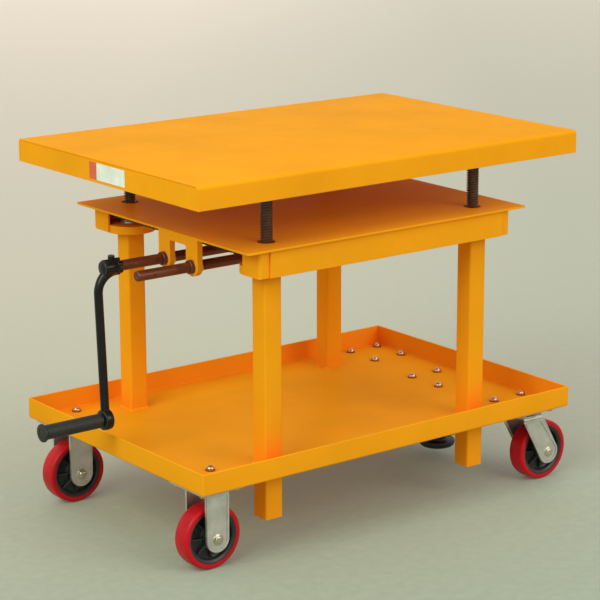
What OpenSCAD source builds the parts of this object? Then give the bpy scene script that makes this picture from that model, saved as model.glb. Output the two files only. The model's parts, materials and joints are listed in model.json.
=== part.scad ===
// Four-post screw lift table on casters, raised and lowered with a hand crank.
// Millimetres, +Z up, floor at z = 0. X runs along the table and the crank is at the -X end.
// Table coordinates have x = 0 midway between the posts; on_table() moves them so that the
// origin is under the middle of the whole machine.

/* [Platform] */
// Length along X
platform_l = 914; // [860:1:1000]
// Width along Y
platform_w = 610; // [600:1:640]
// Height of the skirt
platform_h = 45; // [38:1:60]
// Height of the top above the floor in the stored position
platform_z = 737; // [730:1:780]
// Radius of the folded long edges
platform_r = 8; // [4:1:12]

/* [Deck and posts] */
// Length of the deck plate
deck_l = 678; // [670:1:700]
// Width of the deck plate
deck_w = 578; // [574:1:590]
// Height of the deck's top face
deck_z = 597; // [595:1:600]
// Thickness of deck, rails and guards
plate_t = 4; // [3:0.5:5]
// Depth of the side rails
rail_h = 51; // [48:1:51]
// Distance between the two side rails' outer faces
rail_w = 564; // [560:1:566]
// Post spacing along X
post_dx = 505; // [500:1:510]
// Post spacing along Y
post_dy = 455; // [450:1:460]
// Side of the square post
post_w = 40; // [38:1:42]
// Wall of the post
post_t = 3; // [2:0.5:3]
// Height of the open foot of the post above the floor
post_foot = 65; // [55:1:68]

/* [Tray] */
// Length
tray_l = 910; // [880:1:940]
// Width
tray_w = 610; // [600:1:620]
// Height of the rim
tray_h = 42.5; // [35:0.5:50]
// Sheet thickness
tray_t = 3; // [2:0.5:4]

/* [Screws and chain] */
// Outside diameter of the lift screws
screw_d = 24; // [20:1:24]
// Height of the screw's foot in the stored position
screw_foot = 155; // [155:1:165]
// Chain pitch
pitch = 12.7; // [12.7]
// Height of the main chain
chain_z = 579; // [576:0.5:580]
// Links in the main chain
main_links = 206; // [204:2:208]
// Teeth on the screw nuts and on the drive sprocket
nut_teeth = 18; // [18]
// Teeth on the idlers
idler_teeth = 12; // [12]
// Teeth on the slow shaft's sprocket
slow_teeth = 9; // [9]
// Links in the speed chain
speed_links = 28; // [28]

/* [Shafts and crank] */
// Diameter of both shafts
shaft_d = 20; // [18:1:20]
// Height of both shafts
shaft_z = 540; // [539:0.5:541]
// Y of the fast shaft
fast_y = -20; // [-22:1:-18]
// X of the shafts' outer ends
shaft_out = -461; // [-470:1:-455]
// Throw of the crank
throw = 292; // [280:1:310]
// X of the end of the crank's grip
grip_out = -619; // [-640:1:-600]

/* [Casters and floor lock] */
// Wheel diameter
wheel_d = 125; // [120:1:125]
// Tread width
wheel_w = 38; // [36:1:40]
// Y of the casters
caster_y = 235; // [230:1:238]
// X of the rigid casters
rigid_x = -398; // [-400:1:-390]
// X of the swivel casters' pivots
swivel_x = 391; // [385:1:395]
// Trail of the swivel casters
trail = 47; // [42:1:50]
// X of the floor lock
lock_x = 368; // [360:1:372]
// Height of the lock's pad above the floor when it is up
pad_z = 22; // [22:1:25]

/* [Hidden] */
$fn = 96;
paint = [0.95, 0.56, 0.09];
oil_black = [0.12, 0.10, 0.09];
brown = [0.24, 0.13, 0.10];
zinc = [0.72, 0.72, 0.70];
black = [0.05, 0.05, 0.05];
red = [0.62, 0.06, 0.10];
brass = [0.72, 0.58, 0.28];
wheel_r = wheel_d / 2;
table_x = -(grip_out + swivel_x + trail + wheel_r) / 2;
px = post_dx / 2;
py = post_dy / 2;
skirt_z = platform_z - platform_h;
sheet = 3;
under_deck = deck_z - plate_t;
rail_z = under_deck - rail_h;
guard_x = px + 53.5;
guard_y = rail_w / 2 - plate_t;
guard_end = py - 1.5;
disc_r = guard_x - plate_t - px + 0.5;
disc_z = rail_z - 2;
disc_t = 16;
tray_z = wheel_d / 2 + 103.5;
floor_z = tray_z + tray_t;
screw_r = screw_d / 2;
nut_bore = screw_r + 0.05;
hub_r = 19;
hub_z = disc_z + disc_t + 11;
hub_top = under_deck - 3;
tooth_w = 7.2;
roller_r = 3.96;
seat_r = 4.05;
band_in = 3.95;
band_out = 6.9;
band_h = 6;
nut_r = pitch / 2 / sin(180 / nut_teeth);
idler_r = pitch / 2 / sin(180 / idler_teeth);
slow_r = pitch / 2 / sin(180 / slow_teeth);
run_x = px + nut_r;
run_y = py + nut_r;
idler_x = idler_r - run_x;
idler_ya = fast_y + nut_r + idler_r;
idler_yb = fast_y - nut_r - idler_r;
arc_links = nut_teeth + idler_teeth / 2 + nut_teeth / 2;
free_run = (main_links - arc_links) * pitch - 2 * post_dx - 2 * post_dy + idler_ya - idler_yb;
drive_x = idler_x + free_run / 2;
s_front = post_dx;
s_right = s_front + nut_teeth / 4 * pitch + post_dy;
s_rear = s_right + nut_teeth / 4 * pitch + post_dx;
s_left = s_rear + nut_teeth / 4 * pitch + py - idler_ya;
s_in = s_left + idler_teeth / 4 * pitch + drive_x - idler_x;
s_out = s_in + nut_teeth / 2 * pitch + drive_x - idler_x;
s_end = s_out + idler_teeth / 4 * pitch + idler_yb + py;
free_links = speed_links - (nut_teeth + slow_teeth) / 2;
link_gap = pow((nut_teeth - slow_teeth) / PI, 2) * 2;
shaft_gap = pitch / 4 * (free_links + sqrt(free_links * free_links - link_gap));
slow_y = fast_y - shaft_gap;
lean = asin((nut_r - slow_r) / shaft_gap);
shaft_r = shaft_d / 2;
bush_bore = shaft_r + 0.05;
bracket_t = 13;
bracket_end = -deck_l / 2;
bracket_mid = -14;
bracket_in = 30;
speed_x = 13.6;
shaft_in = bracket_in + bracket_t + 9;
leg_r = 18.5;
bevel_r = 24;
bevel_f = 7.1;
bevel_teeth = 16;
fork_gap = 29;
fork_t = 5;
leg_w = 52;
axle_r = 6;
core_r = 52;
bolt_dx = 75;
bolt_dy = 84;
crank_r = 41;
crank_tilt = 2;
rod_r = 8.5;
bend_x = -446;
bend_z = shaft_z - 5 - crank_r;
grip_z = shaft_z - throw;
rod_l = (bend_z - grip_z - crank_r * sin(crank_tilt)) / cos(crank_tilt);
knuckle_x = bend_x - crank_r * cos(crank_tilt) + rod_l * sin(crank_tilt);
knuckle_w = 19;
knuckle_in = knuckle_x + knuckle_w / 2;
grip_in = knuckle_x - knuckle_w / 2 - 1;
guide_z = pad_z + 24;
pedal_z = pad_z + 110;

// ---- helpers ----

module on_table() translate([table_x, 0, 0]) children();

module at_posts() for (sx = [-1, 1], sy = [-1, 1]) translate([sx * px, sy * py, 0]) children();

module ring(r_out, r_in, h) difference() {
    cylinder(r = r_out, h = h);
    translate([0, 0, -1]) cylinder(r = r_in, h = h + 2);
}

// Turns a piece made along Z so that it lies along X, with its own X along Y.
module along_x() rotate([90, 0, 90]) children();

// Turns a piece made along Z so that it lies along +Y.
module along_y() rotate([-90, 0, 0]) children();

module round_square(w, r) {
    square([w, w - 2 * r], center = true);
    square([w - 2 * r, w], center = true);
    for (sx = [-1, 1], sy = [-1, 1]) translate([sx, sy] * (w / 2 - r)) circle(r);
}

// The angle of the first roller seat past the start of an arc, at run length s.
function gap_angle(s, start, turn, teeth) = start + turn * (ceil(s / pitch) - s / pitch) * 360 / teeth;

// One sprocket disc, lying on z = 0, with a roller seat at the angle phase.
module sprocket(teeth, phase, bore) {
    r = pitch / 2 / sin(180 / teeth);
    r_tip = pitch / 2 * (0.6 + 1 / tan(180 / teeth));
    mouth = seat_r + 1.4;
    linear_extrude(tooth_w) difference() {
        circle(r_tip);
        circle(bore);
        for (i = [0 : teeth - 1]) rotate(phase + i * 360 / teeth) {
            translate([r, 0]) circle(seat_r, $fn = 32);
            polygon([[r, -seat_r], [r, seat_r], [r + 7, mouth], [r + 7, -mouth]]);
        }
    }
}

// Half of a straight bevel pair: apex above, back face on z = 0, a tooth centred on the angle phase.
module bevel(phase, bore) {
    toe = (bevel_r - bevel_f) / bevel_r;
    root_r = bevel_r - 4.2;
    tip_r = bevel_r + 3.3;
    step = 360 / bevel_teeth;
    difference() {
        linear_extrude(bevel_f, scale = toe) {
            circle(root_r, $fn = 64);
            for (i = [0 : bevel_teeth - 1]) rotate(phase + i * step)
                polygon([[root_r - 1, -3.1], [tip_r, -0.9], [tip_r, 0.9], [root_r - 1, 3.1]]);
        }
        translate([0, 0, -1]) cylinder(r = bore, h = bevel_f + 2);
    }
}

// Plates of one straight run of chain, from a to b in the plane of the chain.
module run_plates(a, b) {
    d = b - a;
    translate(a) rotate(atan2(d[1], d[0])) for (z = [-band_out, band_in])
        translate([0, -band_h, z]) cube([norm(d), 2 * band_h, band_out - band_in]);
}

// Plates of the chain round a sprocket at c.
module arc_plates(c, r, start, sweep) translate(c) rotate(start) rotate_extrude(angle = sweep)
    for (z = [-band_out, band_in]) translate([r - band_h, z]) square([2 * band_h, band_out - band_in]);

// Rollers of one straight run that starts at run length s, clear of the sprockets at its ends.
module run_rollers(a, b, s) {
    clear = 30;
    u = (b - a) / norm(b - a);
    first = ceil((s + clear) / pitch);
    last = floor((s + norm(b - a) - clear) / pitch);
    for (i = [first : last]) translate(a + u * (i * pitch - s)) translate([0, 0, -band_out])
        cylinder(r = roller_r, h = 2 * band_out, $fn = 24);
}

module run(a, b, s) {
    run_plates(a, b);
    run_rollers(a, b, s);
}

// ---- frame ----

module tray() on_table() color(paint) difference() {
    translate([-tray_l / 2, -tray_w / 2, tray_z]) cube([tray_l, tray_w, tray_h]);
    translate([tray_t - tray_l / 2, tray_t - tray_w / 2, floor_z])
        cube([tray_l - 2 * tray_t, tray_w - 2 * tray_t, tray_h]);
    at_posts() translate([-post_w / 2, -post_w / 2, tray_z - 1]) cube([post_w, post_w, tray_t + 2]);
    at_tray_bolts() translate([0, 0, tray_z - 1]) cylinder(r = 4.5, h = tray_t + 2, $fn = 24);
}

module posts() on_table() color(paint) at_posts() translate([0, 0, post_foot])
    linear_extrude(disc_z - post_foot) difference() {
        round_square(post_w, 4);
        round_square(post_w - 2 * post_t, 1.5);
    }

module deck_plate() on_table() color(paint) difference() {
    translate([-deck_l / 2, -deck_w / 2, under_deck]) cube([deck_l, deck_w, plate_t]);
    at_posts() translate([0, 0, under_deck - 1]) cylinder(r = 17, h = plate_t + 2);
}

module side_rails() on_table() color(paint) for (s = [-1, 1]) scale([1, s, 1]) {
    web_l = post_dx + 61;
    lip_l = post_dx - 105;
    translate([-web_l / 2, rail_w / 2 - plate_t, rail_z]) cube([web_l, plate_t, rail_h]);
    translate([-lip_l / 2, rail_w / 2 - 22, rail_z]) cube([lip_l, 18, plate_t]);
}

// Plan of a corner guard, filled, with d taken off all round.
module guard_outline(d) {
    bend = 6;
    square([guard_x - bend, guard_y - d]);
    square([guard_x - d, guard_y - bend]);
    translate([guard_x - bend, guard_y - bend]) circle(bend - d);
}

// End view of a corner guard, with radii for its lower corner at the free end and at the bend.
module guard_end_view(free_r, bend_r) {
    translate([guard_end, rail_z + free_r]) square([free_r, rail_h]);
    translate([guard_end + free_r, rail_z + free_r]) circle(free_r);
    translate([guard_end + free_r, rail_z]) square([guard_y - guard_end - free_r - bend_r, 2 * rail_h]);
    translate([guard_y - bend_r, rail_z + bend_r]) circle(bend_r);
    translate([guard_y - bend_r, rail_z + bend_r]) square([bend_r, rail_h]);
}

module corner_guards() on_table() color(paint) for (sx = [-1, 1], sy = [-1, 1]) scale([sx, sy, 1])
    intersection() {
        translate([0, 0, rail_z]) linear_extrude(rail_h) difference() {
            guard_outline(0);
            guard_outline(plate_t);
            square([px + 17, 400]);
        }
        along_x() linear_extrude(400) guard_end_view(sy < 0 ? 18 : 2, sy < 0 ? 1 : 12);
    }

module bearing_plates() on_table() color(paint) for (sx = [-1, 1], sy = [-1, 1]) scale([sx, sy, 1])
    translate([0, 0, disc_z]) linear_extrude(disc_t) difference() {
        intersection() {
            translate([px, py]) circle(disc_r);
            guard_outline(plate_t);
        }
        translate([px, py]) circle(13.5);
    }

module thrust_bearings() on_table() color(zinc) at_posts() translate([0, 0, disc_z + disc_t]) {
    ring(21, 12.5, 3.4);
    translate([0, 0, 3.6]) ring(20, 14, 3.8);
    translate([0, 0, 7.6]) ring(21, 12.5, 3.4);
}

// Hanging bracket with a leg for each shaft; its -X face is at x = 0.
module bracket(strip_h) along_x() linear_extrude(bracket_t) difference() {
    union() {
        for (y = [fast_y, slow_y]) {
            translate([y, shaft_z]) circle(leg_r);
            translate([y - leg_r, shaft_z]) square([2 * leg_r, under_deck - shaft_z]);
        }
        translate([slow_y, under_deck - strip_h]) square([fast_y - slow_y, strip_h]);
    }
    for (y = [fast_y, slow_y]) translate([y, shaft_z]) circle(14);
}

module end_bracket() on_table() color(paint) translate([bracket_end, 0, 0]) bracket(15);

module inner_brackets() on_table() color(paint) for (x = [bracket_mid, bracket_in])
    translate([x, 0, 0]) bracket(15);

module shaft_bushings() on_table() color(brass)
    for (x = [bracket_end, bracket_mid, bracket_in], y = [fast_y, slow_y]) translate([x, y, shaft_z])
        along_x() difference() {
            union() {
                cylinder(r = 14, h = bracket_t + 5);
                translate([0, 0, bracket_t]) cylinder(r = 15.5, h = 3);
            }
            translate([0, 0, -1]) cylinder(r = bush_bore, h = bracket_t + 8);
        }

module main_chain() on_table() color(oil_black) translate([0, 0, chain_z]) {
    run([-px, -run_y], [px, -run_y], 0);
    run([run_x, -py], [run_x, py], s_front + nut_teeth / 4 * pitch);
    run([px, run_y], [-px, run_y], s_right + nut_teeth / 4 * pitch);
    run([-run_x, py], [-run_x, idler_ya], s_rear + nut_teeth / 4 * pitch);
    run([idler_x, fast_y + nut_r], [drive_x, fast_y + nut_r], s_left + idler_teeth / 4 * pitch);
    run([drive_x, fast_y - nut_r], [idler_x, fast_y - nut_r], s_in + nut_teeth / 2 * pitch);
    run([-run_x, idler_yb], [-run_x, -py], s_out + idler_teeth / 4 * pitch);
    arc_plates([px, -py], nut_r, -90, 90);
    arc_plates([px, py], nut_r, 0, 90);
    arc_plates([-px, py], nut_r, 90, 90);
    arc_plates([-px, -py], nut_r, 180, 90);
    arc_plates([idler_x, idler_ya], idler_r, 180, 90);
    arc_plates([idler_x, idler_yb], idler_r, 90, 90);
    arc_plates([drive_x, fast_y], nut_r, -90, 180);
}

module speed_chain() on_table() color(oil_black) translate([speed_x, 0, 0]) along_x() {
    fast = [fast_y, shaft_z];
    slow = [slow_y, shaft_z];
    up = [-sin(lean), cos(lean)];
    down = [-sin(lean), -cos(lean)];
    run(slow + slow_r * down, fast + nut_r * down, 0);
    run(fast + nut_r * up, slow + slow_r * up, pitch * 2);
    arc_plates(fast, nut_r, -90 - lean, 180 + 2 * lean);
    arc_plates(slow, slow_r, 90 + lean, 180 - 2 * lean);
}

// Stub pin hanging from the deck, with a retaining head at its lower end z.
module stub_pin(r, head_r, z) {
    translate([0, 0, z]) cylinder(r = r, h = under_deck - z);
    translate([0, 0, z]) cylinder(r = head_r, h = 1.8);
    translate([0, 0, under_deck - 2]) cylinder(r = r + 5, h = 2);
}

module sprocket_pins() on_table() color(zinc) {
    translate([drive_x, fast_y, 0]) stub_pin(7, 10.5, 556.8);
    for (y = [idler_ya, idler_yb]) translate([idler_x, y, 0]) stub_pin(6, 10, chain_z - 10.1);
}

// ---- turning parts of the drive ----

module nut(sx, sy, phase) on_table() color(oil_black) translate([sx * px, sy * py, 0]) {
    translate([0, 0, hub_z]) ring(hub_r, nut_bore, hub_top - hub_z);
    translate([0, 0, chain_z - tooth_w / 2]) sprocket(nut_teeth, phase, hub_r);
}

module nut_front_left() nut(-1, -1, -90);

module nut_front_right() nut(1, -1, gap_angle(s_front, -90, 1, nut_teeth));

module nut_rear_right() nut(1, 1, gap_angle(s_right, 0, 1, nut_teeth));

module nut_rear_left() nut(-1, 1, gap_angle(s_rear, 90, 1, nut_teeth));

module drive_sprocket() on_table() color(oil_black) translate([drive_x, fast_y, 0]) {
    translate([0, 0, chain_z - tooth_w / 2])
        sprocket(nut_teeth, gap_angle(s_in, 90, -1, nut_teeth), 14);
    translate([0, 0, shaft_z + bevel_r + 3]) ring(14, 7.05, under_deck - 5 - shaft_z - bevel_r);
}

module drive_bevel() on_table() color(oil_black) translate([drive_x, fast_y, 0]) difference() {
    union() {
        translate([0, 0, shaft_z + bevel_r]) mirror([0, 0, 1]) bevel(0, 5);
        translate([0, 0, shaft_z + bevel_r]) cylinder(r = 20, h = 3);
    }
    translate([0, 0, shaft_z]) cylinder(r = 7.05, h = 60);
    translate([0, 0, shaft_z]) cylinder(r = 11.2, h = 19.5);
}

module idler(y, phase) on_table() color(oil_black) translate([idler_x, y, 0]) {
    translate([0, 0, chain_z - 8]) ring(13, 6.05, under_deck - 3 - chain_z + 8);
    translate([0, 0, chain_z - tooth_w / 2]) sprocket(idler_teeth, phase, 13);
}

module idler_rear() idler(idler_ya, gap_angle(s_left, 180, 1, idler_teeth));

module idler_front() idler(idler_yb, gap_angle(s_out, 90, 1, idler_teeth));

module shaft(y) translate([shaft_out, y, shaft_z]) along_x() cylinder(r = shaft_r, h = shaft_in - shaft_out);

// Set collars outside the end bracket and beyond the innermost one, and a cross pin at pin_x.
module fittings(y, pin_x) {
    for (x = [bracket_end - 8.2, bracket_in + bracket_t + 5.2]) translate([x, y, shaft_z])
        along_x() ring(13, shaft_r, x < 0 ? 8 : 3.6);
    for (s = [-1, 1]) translate([pin_x, y + s * (shaft_r + 2), shaft_z])
        along_y() cylinder(r = 2.5, h = 4, center = true, $fn = 24);
}

module fast_shaft() on_table() color(brown) shaft(fast_y);

module fast_fittings() on_table() color(brown) fittings(fast_y, shaft_out + 17.5);

module bevel_pinion() on_table() color(oil_black) translate([drive_x - bevel_r, fast_y, shaft_z]) along_x() {
    bevel(90 + 180 / bevel_teeth, shaft_r);
    translate([0, 0, -14]) ring(17, shaft_r, 14);
}

module fast_sprocket() on_table() color(oil_black) translate([speed_x, fast_y, shaft_z]) along_x() {
    translate([0, 0, -tooth_w / 2]) sprocket(nut_teeth, 90 + lean, 16);
    translate([0, 0, -tooth_w / 2]) ring(16, shaft_r, 15);
}

module slow_shaft() on_table() color(brown) shaft(slow_y);

module slow_fittings() on_table() color(brown) fittings(slow_y, shaft_out + 37);

module slow_sprocket() on_table() color(oil_black) translate([speed_x, slow_y, shaft_z]) along_x() {
    translate([0, 0, -tooth_w / 2]) sprocket(slow_teeth, 270 - lean, 12.5);
    translate([0, 0, -tooth_w / 2]) ring(12.5, shaft_r, 15);
}

// ---- crank ----

module crank_arm() on_table() color(black) translate([0, fast_y, 0]) difference() {
    union() {
        translate([shaft_out - 18, 0, shaft_z]) along_x() cylinder(r = 16, h = 39);
        translate([shaft_out + 4, 0, shaft_z]) cylinder(r = 6.5, h = 23);
        translate([bend_x, 0, bend_z]) rotate([0, -crank_tilt, 0]) {
            rotate([90, 0, 0]) rotate(90) rotate_extrude(angle = 90) translate([crank_r, 0]) circle(rod_r);
            translate([-crank_r, 0, -rod_l]) cylinder(r = rod_r, h = rod_l);
        }
        translate([knuckle_x - knuckle_w / 2, 0, grip_z]) along_x() cylinder(r = 20, h = knuckle_w);
    }
    translate([shaft_out - 5, 0, shaft_z]) along_x() cylinder(r = shaft_r + 0.05, h = 60);
    for (a = [0, 60, 120]) translate([shaft_out + 13, 0, shaft_z]) along_x() rotate(a)
        translate([-30, -3.2, 0]) cube([60, 6.4, 20]);
    translate([knuckle_x - 20, 0, grip_z]) along_x() cylinder(r = 5, h = 40);
}

module crank_pin() on_table() color(zinc) translate([0, fast_y, grip_z]) {
    translate([grip_out + 4, 0, 0]) along_x() cylinder(r = 5, h = knuckle_in - grip_out - 4);
    translate([grip_out + 4, 0, 0]) along_x() cylinder(r = 8, h = 4);
    translate([knuckle_in, 0, 0]) along_x() cylinder(r = 9, h = 5);
}

module crank_grip() on_table() color(black) translate([grip_out, fast_y, grip_z]) along_x() {
    grip_l = grip_in - grip_out;
    difference() {
        union() {
            cylinder(r = 13.3, h = grip_l);
            cylinder(r = 17.5, h = 6);
            for (i = [0 : 22]) translate([0, 0, 9 + i * 5.2]) cylinder(r = 14, h = 2.6);
        }
        translate([0, 0, -1]) cylinder(r = 8.1, h = 9.2);
        translate([0, 0, -1]) cylinder(r = 5.1, h = grip_l + 2);
    }
}

module grip_cap() on_table() color(black) translate([grip_out, fast_y, grip_z]) along_x()
    cylinder(r = 8.1, h = 3);

// ---- lifting parts ----

// End view of the folded platform sheet, d in from its outside.
module platform_outline(d) {
    r = platform_r - d;
    w = platform_w / 2 - d;
    top = platform_h - d;
    translate([-w, -1]) square([2 * w, top - r + 1]);
    translate([r - w, -1]) square([2 * (w - r), top + 1]);
    for (s = [-1, 1]) translate([s * (w - r), top - r]) circle(r);
}

module platform() on_table() color(paint) translate([-platform_l / 2, 0, skirt_z]) difference() {
    along_x() linear_extrude(platform_l) platform_outline(0);
    translate([sheet, 0, 0]) along_x() linear_extrude(platform_l - 2 * sheet) platform_outline(sheet);
    translate([-1, -400, -10]) cube([platform_l + 2, 800, 10]);
}

module platform_stiffeners() on_table() color(paint) for (s = [-1, 1])
    translate([-430, s * py - 30, 0]) difference() {
        translate([0, 0, 706]) cube([860, 60, platform_z - sheet - 706]);
        translate([-1, sheet, 706 + sheet]) cube([862, 60 - 2 * sheet, platform_z - 2 * sheet - 706 - sheet]);
        for (x = [-px, px]) translate([430 + x, 30, 700]) cylinder(r = screw_r, h = 12);
        for (x = [-px, px]) translate([430 + x, 30, 728]) cylinder(r = screw_r, h = 10);
    }

module screw_flanges() on_table() color(oil_black) at_posts() translate([0, 0, 698]) ring(28, screw_r, 8);

module screw(sx, sy) on_table() color(oil_black) translate([sx * px, sy * py, screw_foot])
    cylinder(r = screw_r, h = platform_z - sheet - screw_foot);

module screw_guides() on_table() color(black) at_posts() translate([0, 0, screw_foot])
    linear_extrude(22) difference() {
        round_square(post_w - 2 * post_t - 0.6, 2.5);
        circle(screw_r);
    }

module blank_label() on_table() color("white") translate([-platform_l / 2 - 0.3, -72, 698])
    cube([0.3, 120, 32]);

// ---- casters ----

module at_plate_bolts() for (x = [-bolt_dx / 2, bolt_dx / 2], y = [-bolt_dy / 2, bolt_dy / 2])
    translate([x, y, 0]) children();

module at_tray_bolts() {
    for (x = [rigid_x, swivel_x], s = [-1, 1]) translate([x, s * caster_y, 0]) at_plate_bolts() children();
    for (x = [-35, 35], y = [-42.5, 42.5]) translate([lock_x + x, y, 0]) children();
}

module caster_plate() translate([0, 0, tray_z - 5]) difference() {
    translate([-50, -57, 0]) cube([100, 114, 5]);
    at_plate_bolts() translate([0, 0, -1]) cylinder(r = 4.5, h = 7, $fn = 24);
}

// One leg of a fork, seen from the side: from z = top down to the axle at [dx, wheel_r].
module leg_outline(dx, top) {
    fall = top - wheel_r;
    l = norm([dx, fall]);
    n = [fall, dx] / l * 25;
    polygon([[-leg_w / 2, top], [leg_w / 2, top], [dx + n[0], wheel_r + n[1]], [dx - n[0], wheel_r - n[1]]]);
    translate([dx, wheel_r]) circle(25);
}

module legs(dx, top) for (s = [-1, 1]) translate([0, s * (fork_gap + fork_t / 2), 0])
    rotate([90, 0, 0]) linear_extrude(fork_t, center = true) difference() {
        leg_outline(dx, top);
        translate([dx, wheel_r]) circle(axle_r);
    }

// Axle bolt across a fork, with a domed nut at both ends.
module axle() {
    along_y() cylinder(r = axle_r, h = 2 * (fork_gap + fork_t), center = true);
    for (s = [-1, 1]) scale([1, s, 1]) translate([0, fork_gap + fork_t, 0]) along_y() {
        cylinder(r = 9.5, h = 3.5);
        intersection() {
            translate([0, 0, -3]) sphere(9);
            cylinder(r = 10, h = 8);
        }
    }
}

module rigid_forks() on_table() color(zinc) for (s = [-1, 1]) translate([rigid_x, s * caster_y, 0]) {
    caster_plate();
    translate([-leg_w / 2, -fork_gap - fork_t, tray_z - 10]) cube([leg_w, 2 * (fork_gap + fork_t), 5]);
    legs(0, tray_z - 5);
}

module rigid_axles() on_table() color(zinc) for (s = [-1, 1])
    translate([rigid_x, s * caster_y, wheel_r]) axle();

module swivel_plates() on_table() color(zinc) for (s = [-1, 1]) translate([swivel_x, s * caster_y, 0]) {
    caster_plate();
    translate([0, 0, tray_z - 13]) ring(34, 27, 8);
    translate([0, 0, tray_z - 27]) cylinder(r = 6, h = 22);
    translate([0, 0, tray_z - 27]) cylinder(r = 10, h = 4);
}

module swivel_fork(s) on_table() color(zinc) translate([swivel_x, s * caster_y, 0]) difference() {
    union() {
        translate([0, 0, tray_z - 22]) cylinder(r = 36, h = 5);
        translate([0, 0, tray_z - 17]) cylinder(r = 30, h = 3.7);
        translate([0, 0, tray_z - 14]) cylinder(r = 26.5, h = 8.5);
        translate([-leg_w / 2, -fork_gap - fork_t, tray_z - 22]) cube([leg_w, 2 * (fork_gap + fork_t), 5]);
        legs(trail, tray_z - 17);
    }
    translate([0, 0, tray_z - 30]) cylinder(r = 6.05, h = 40);
}

module swivel_fork_front() swivel_fork(-1);

module swivel_fork_rear() swivel_fork(1);

module swivel_axle(s) on_table() color(zinc) translate([swivel_x + trail, s * caster_y, wheel_r]) axle();

module swivel_axle_front() swivel_axle(-1);

module swivel_axle_rear() swivel_axle(1);

module tread(x, s) on_table() color(red) translate([x, s * caster_y, wheel_r]) along_y() rotate_extrude() {
    w = wheel_w / 2;
    edge = 5;
    translate([core_r, edge - w]) square([wheel_r - core_r, 2 * (w - edge)]);
    translate([core_r, -w]) square([wheel_r - edge - core_r, 2 * w]);
    for (e = [-1, 1]) translate([wheel_r - edge, e * (w - edge)]) circle(edge);
}

module core(x, s) on_table() color(black) translate([x, s * caster_y, wheel_r]) along_y() difference() {
    union() {
        rim_w = wheel_w - 2;
        translate([0, 0, -rim_w / 2]) ring(core_r, core_r - 8, rim_w);
        translate([0, 0, -5]) cylinder(r = core_r - 7, h = 10);
        translate([0, 0, 0.3 - fork_gap]) cylinder(r = 17, h = 2 * (fork_gap - 0.3));
    }
    translate([0, 0, -50]) cylinder(r = axle_r + 0.05, h = 100);
}

module tread_front_left() tread(rigid_x, -1);

module tread_rear_left() tread(rigid_x, 1);

module tread_front_right() tread(swivel_x + trail, -1);

module tread_rear_right() tread(swivel_x + trail, 1);

module core_front_left() core(rigid_x, -1);

module core_rear_left() core(rigid_x, 1);

module core_front_right() core(swivel_x + trail, -1);

module core_rear_right() core(swivel_x + trail, 1);

// Domed bolt through the tray and a caster or lock plate, with a nut below.
module tray_bolts() on_table() color(zinc) at_tray_bolts() {
    translate([0, 0, floor_z]) cylinder(r = 9.6, h = 1.5, $fn = 32);
    translate([0, 0, floor_z]) intersection() {
        translate([0, 0, -1.2]) sphere(9.2, $fn = 32);
        cylinder(r = 10, h = 8, $fn = 32);
    }
    translate([0, 0, tray_z - 12]) cylinder(r = 4, h = 12 + tray_t + 1, $fn = 24);
    translate([0, 0, tray_z - 11]) cylinder(r = 7.5, h = 6, $fn = 6);
}

// ---- floor lock ----

module lock_housing() on_table() color(black) translate([lock_x, 0, 0]) {
    translate([0, 0, tray_z - 5]) difference() {
        translate([-48, -56, 0]) cube([96, 112, 5]);
        for (x = [-35, 35], y = [-42.5, 42.5]) translate([x, y, -1]) cylinder(r = 4.5, h = 7, $fn = 24);
    }
    for (s = [-1, 1]) translate([-52, s * 24 - 2, guide_z]) difference() {
        cube([80, 4, tray_z - 5 - guide_z]);
        translate([12, 5, pedal_z - guide_z]) rotate([90, 0, 0]) cylinder(r = 5, h = 10);
    }
    translate([0, 0, guide_z]) difference() {
        translate([-22, -22, 0]) cube([44, 44, 38]);
        translate([0, 0, -1]) cylinder(r = 14.3, h = 40);
    }
}

module lock_pedal() on_table() color(black) translate([lock_x - 40, 0, pedal_z]) {
    rotate([90, 0, 0]) cylinder(r = 4.95, h = 56, center = true);
    translate([-7, -7, -8]) cube([124, 14, 16]);
    translate([92, -30, -4]) cube([30, 60, 8]);
}

module lock_foot() on_table() color(black) translate([lock_x, 0, pad_z]) {
    rotate_extrude() {
        translate([0, 6]) square([38, 8]);
        square([32, 14]);
        translate([32, 6]) circle(6);
    }
    translate([0, 0, 14]) cylinder(r = 20, h = 5);
    translate([0, 0, 14]) cylinder(r = 14, h = 58);
    translate([0, 0, 70]) cylinder(r = 5, h = 25);
}

tray();
posts();
deck_plate();
side_rails();
corner_guards();
bearing_plates();
thrust_bearings();
end_bracket();
inner_brackets();
shaft_bushings();
main_chain();
speed_chain();
sprocket_pins();
rigid_forks();
rigid_axles();
swivel_plates();
tray_bolts();
lock_housing();
nut_front_left();
nut_front_right();
nut_rear_left();
nut_rear_right();
drive_sprocket();
drive_bevel();
idler_front();
idler_rear();
fast_shaft();
fast_fittings();
bevel_pinion();
fast_sprocket();
slow_shaft();
slow_fittings();
slow_sprocket();
crank_arm();
crank_pin();
crank_grip();
grip_cap();
platform();
platform_stiffeners();
screw_flanges();
screw(-1, -1);  // screw_front_left
screw(1, -1);  // screw_front_right
screw(-1, 1);  // screw_rear_left
screw(1, 1);  // screw_rear_right
screw_guides();
blank_label();
swivel_fork_front();
swivel_fork_rear();
swivel_axle_front();
swivel_axle_rear();
tread_front_left();
tread_front_right();
tread_rear_left();
tread_rear_right();
core_front_left();
core_front_right();
core_rear_left();
core_rear_right();
lock_pedal();
lock_foot();
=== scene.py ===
"""Looks of a four-post screw lift table on casters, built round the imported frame."""

import json
import math

import bmesh
import bpy
from mathutils import Matrix, Vector


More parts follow.
